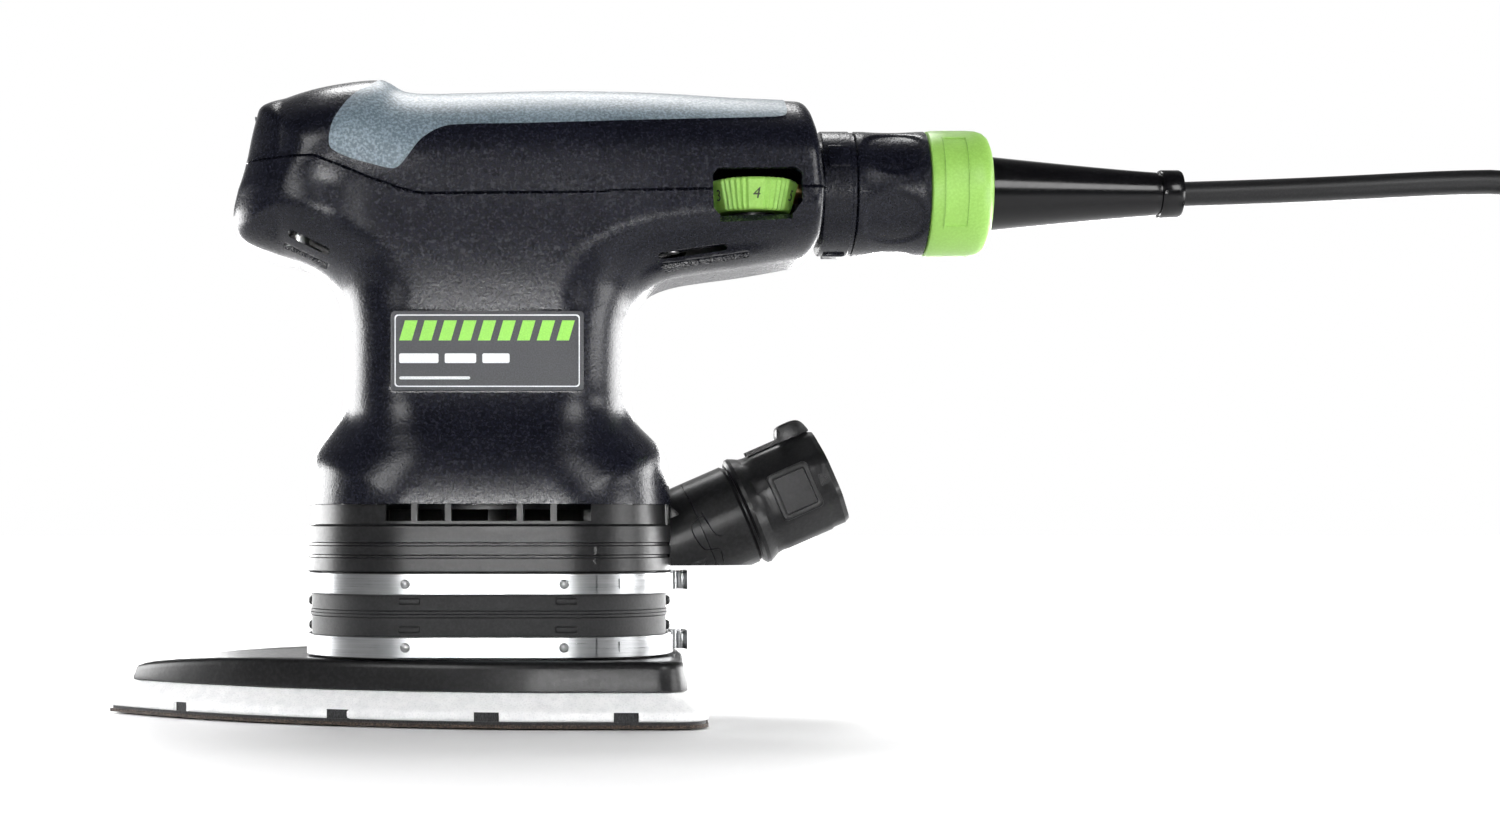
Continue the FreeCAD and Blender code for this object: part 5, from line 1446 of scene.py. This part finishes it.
def build_sander():
    dress_cad_nodes()
    build_housing()
    build_fan_housing()
    build_sleeve()
    build_band("upper", 30.6, "housing")
    build_band("lower", 15.6, "pad")
    build_port_neck()
    build_port_end()
    build_foam()
    build_carrier()
    build_inlet()
    build_collar()
    build_plug()
    build_cord(build_relief())
    build_dial()
    build_rocker()
    build_badge()


build_sander()


# ---------------------------------------------------------------- floor, light and camera


def build_stage():
    """A pale floor that glows white far behind the tool, so that it runs into the backdrop. The glow
    grows with the distance from a point in front of the tool."""
    look = Look("pale_floor", specular=0.2)
    mottle = look.noise(0.02, 3)
    look.colour(look.ramp(mottle, [(0.3, (0.8, 0.8, 0.805)), (0.7, (0.83, 0.83, 0.835))]))
    look.roughness(mottle, 0.55, 0.65)
    tree = look.tree
    away = tree.nodes.new("ShaderNodeVectorMath")
    away.operation = "DISTANCE"
    away.inputs[1].default_value = (0, -1.2, 0)
    tree.links.new(look.place, away.inputs[0])
    glow = tree.nodes.new("ShaderNodeMapRange")
    glow.interpolation_type = "SMOOTHSTEP"
    glow.inputs["From Min"].default_value = 1.38
    glow.inputs["From Max"].default_value = 1.75
    tree.links.new(away.outputs["Value"], glow.inputs["Value"])
    path = tree.nodes.new("ShaderNodeLightPath")
    seen = tree.nodes.new("ShaderNodeMath")
    seen.operation = "MULTIPLY"
    tree.links.new(glow.outputs["Result"], seen.inputs[0])
    tree.links.new(path.outputs["Is Camera Ray"], seen.inputs[1])
    look.shader.inputs["Emission Color"].default_value = (1, 1, 1, 1)
    tree.links.new(seen.outputs["Value"], look.shader.inputs["Emission Strength"])
    floor = make_piece("floor", [(-6000, -3000, -0.4), (6000, -3000, -0.4), (6000, 9000, -0.4),
                                 (-6000, 9000, -0.4)], [(0, 1, 2, 3)], "pale_floor")


def lamp(name, place, aim, size, power, spread=180):
    """A rectangular softbox at a place, in millimetres, that faces another. spread is the full angle
    of its beam in degrees."""
    light = bpy.data.lights.new(name, "AREA")
    light.shape = "RECTANGLE"
    light.size, light.size_y = size[0] * MM, size[1] * MM
    light.energy = power
    light.spread = math.radians(spread)
    holder = bpy.data.objects.new(name, light)
    holder.location = Vector(place) * MM
    holder.rotation_euler = (Vector(aim) - Vector(place)).to_track_quat("-Z", "Y").to_euler()
    holder.visible_camera = False
    bpy.context.scene.collection.objects.link(holder)


def build_lights():
    lamp("top_softbox", (-20, 470, 850), (10, 0, 60), (420, 300), 5.8)
    lamp("key_left", (-450, -750, 480), (0, 0, 80), (300, 300), 2.8)
    lamp("key_right", (500, -700, 460), (20, 0, 80), (300, 300), 2.7)
    lamp("front_strip", (-20, -1300, 125), (5, 0, 80), (110, 190), 0.17, 30)
    lamp("back_left", (-390, 590, 100), (0, 0, 80), (480, 190), 3.7)
    lamp("back_right", (390, 590, 100), (0, 0, 80), (480, 190), 3.7)
    lamp("side_left", (-625, 200, 130), (0, 0, 80), (370, 250), 5.0)
    lamp("side_right", (625, 200, 130), (0, 0, 80), (370, 250), 5.0)
    lamp("edge_right", (598, -260, 90), (0, 0, 80), (240, 170), 1.3)


def build_world():
    """A white studio for the camera. Everything else sees it bright behind and dim in front."""
    world = bpy.data.worlds.new("studio")
    bpy.context.scene.world = world
    world.use_nodes = True
    tree = world.node_tree
    tree.nodes.clear()
    direction = tree.nodes.new("ShaderNodeTexCoord").outputs["Generated"]
    split = tree.nodes.new("ShaderNodeSeparateXYZ")
    tree.links.new(direction, split.inputs["Vector"])
    depth = tree.nodes.new("ShaderNodeMapRange")
    depth.inputs["From Min"].default_value = -1
    tree.links.new(split.outputs["Y"], depth.inputs["Value"])
    shade = tree.nodes.new("ShaderNodeValToRGB")
    stops = [(0.0, 0.01), (0.5, 0.02), (0.85, 0.15), (1.0, 0.9)]
    while len(shade.color_ramp.elements) < len(stops):
        shade.color_ramp.elements.new(0.5)
    for element, (place, value) in zip(shade.color_ramp.elements, stops):
        element.position = place
        element.color = (value, value, value, 1)
    tree.links.new(depth.outputs["Result"], shade.inputs["Fac"])
    around = tree.nodes.new("ShaderNodeBackground")
    tree.links.new(shade.outputs["Color"], around.inputs["Color"])
    seen = tree.nodes.new("ShaderNodeBackground")
    seen.inputs["Color"].default_value = (1, 1, 1, 1)
    path = tree.nodes.new("ShaderNodeLightPath")
    mix = tree.nodes.new("ShaderNodeMixShader")
    tree.links.new(path.outputs["Is Camera Ray"], mix.inputs["Fac"])
    tree.links.new(around.outputs["Background"], mix.inputs[1])
    tree.links.new(seen.outputs["Background"], mix.inputs[2])
    output = tree.nodes.new("ShaderNodeOutputWorld")
    tree.links.new(mix.outputs["Shader"], output.inputs["Surface"])


def build_camera():
    """A level camera in front of the tool, with the picture shifted up and to the right of its axis."""
    camera = bpy.data.cameras.new("camera")
    camera.sensor_width = 36
    camera.lens = 53.49
    camera.shift_x = 0.1267
    camera.shift_y = 0.0741
    camera.clip_start = 0.02
    camera.clip_end = 30
    holder = bpy.data.objects.new("camera", camera)
    holder.location = (0.01825, -0.565, 0.047)
    holder.rotation_euler = (math.radians(90), 0, 0)
    bpy.context.scene.collection.objects.link(holder)
    bpy.context.scene.camera = holder
    bpy.context.scene.view_settings.view_transform = "Standard"


build_stage()
build_lights()
build_world()
build_camera()
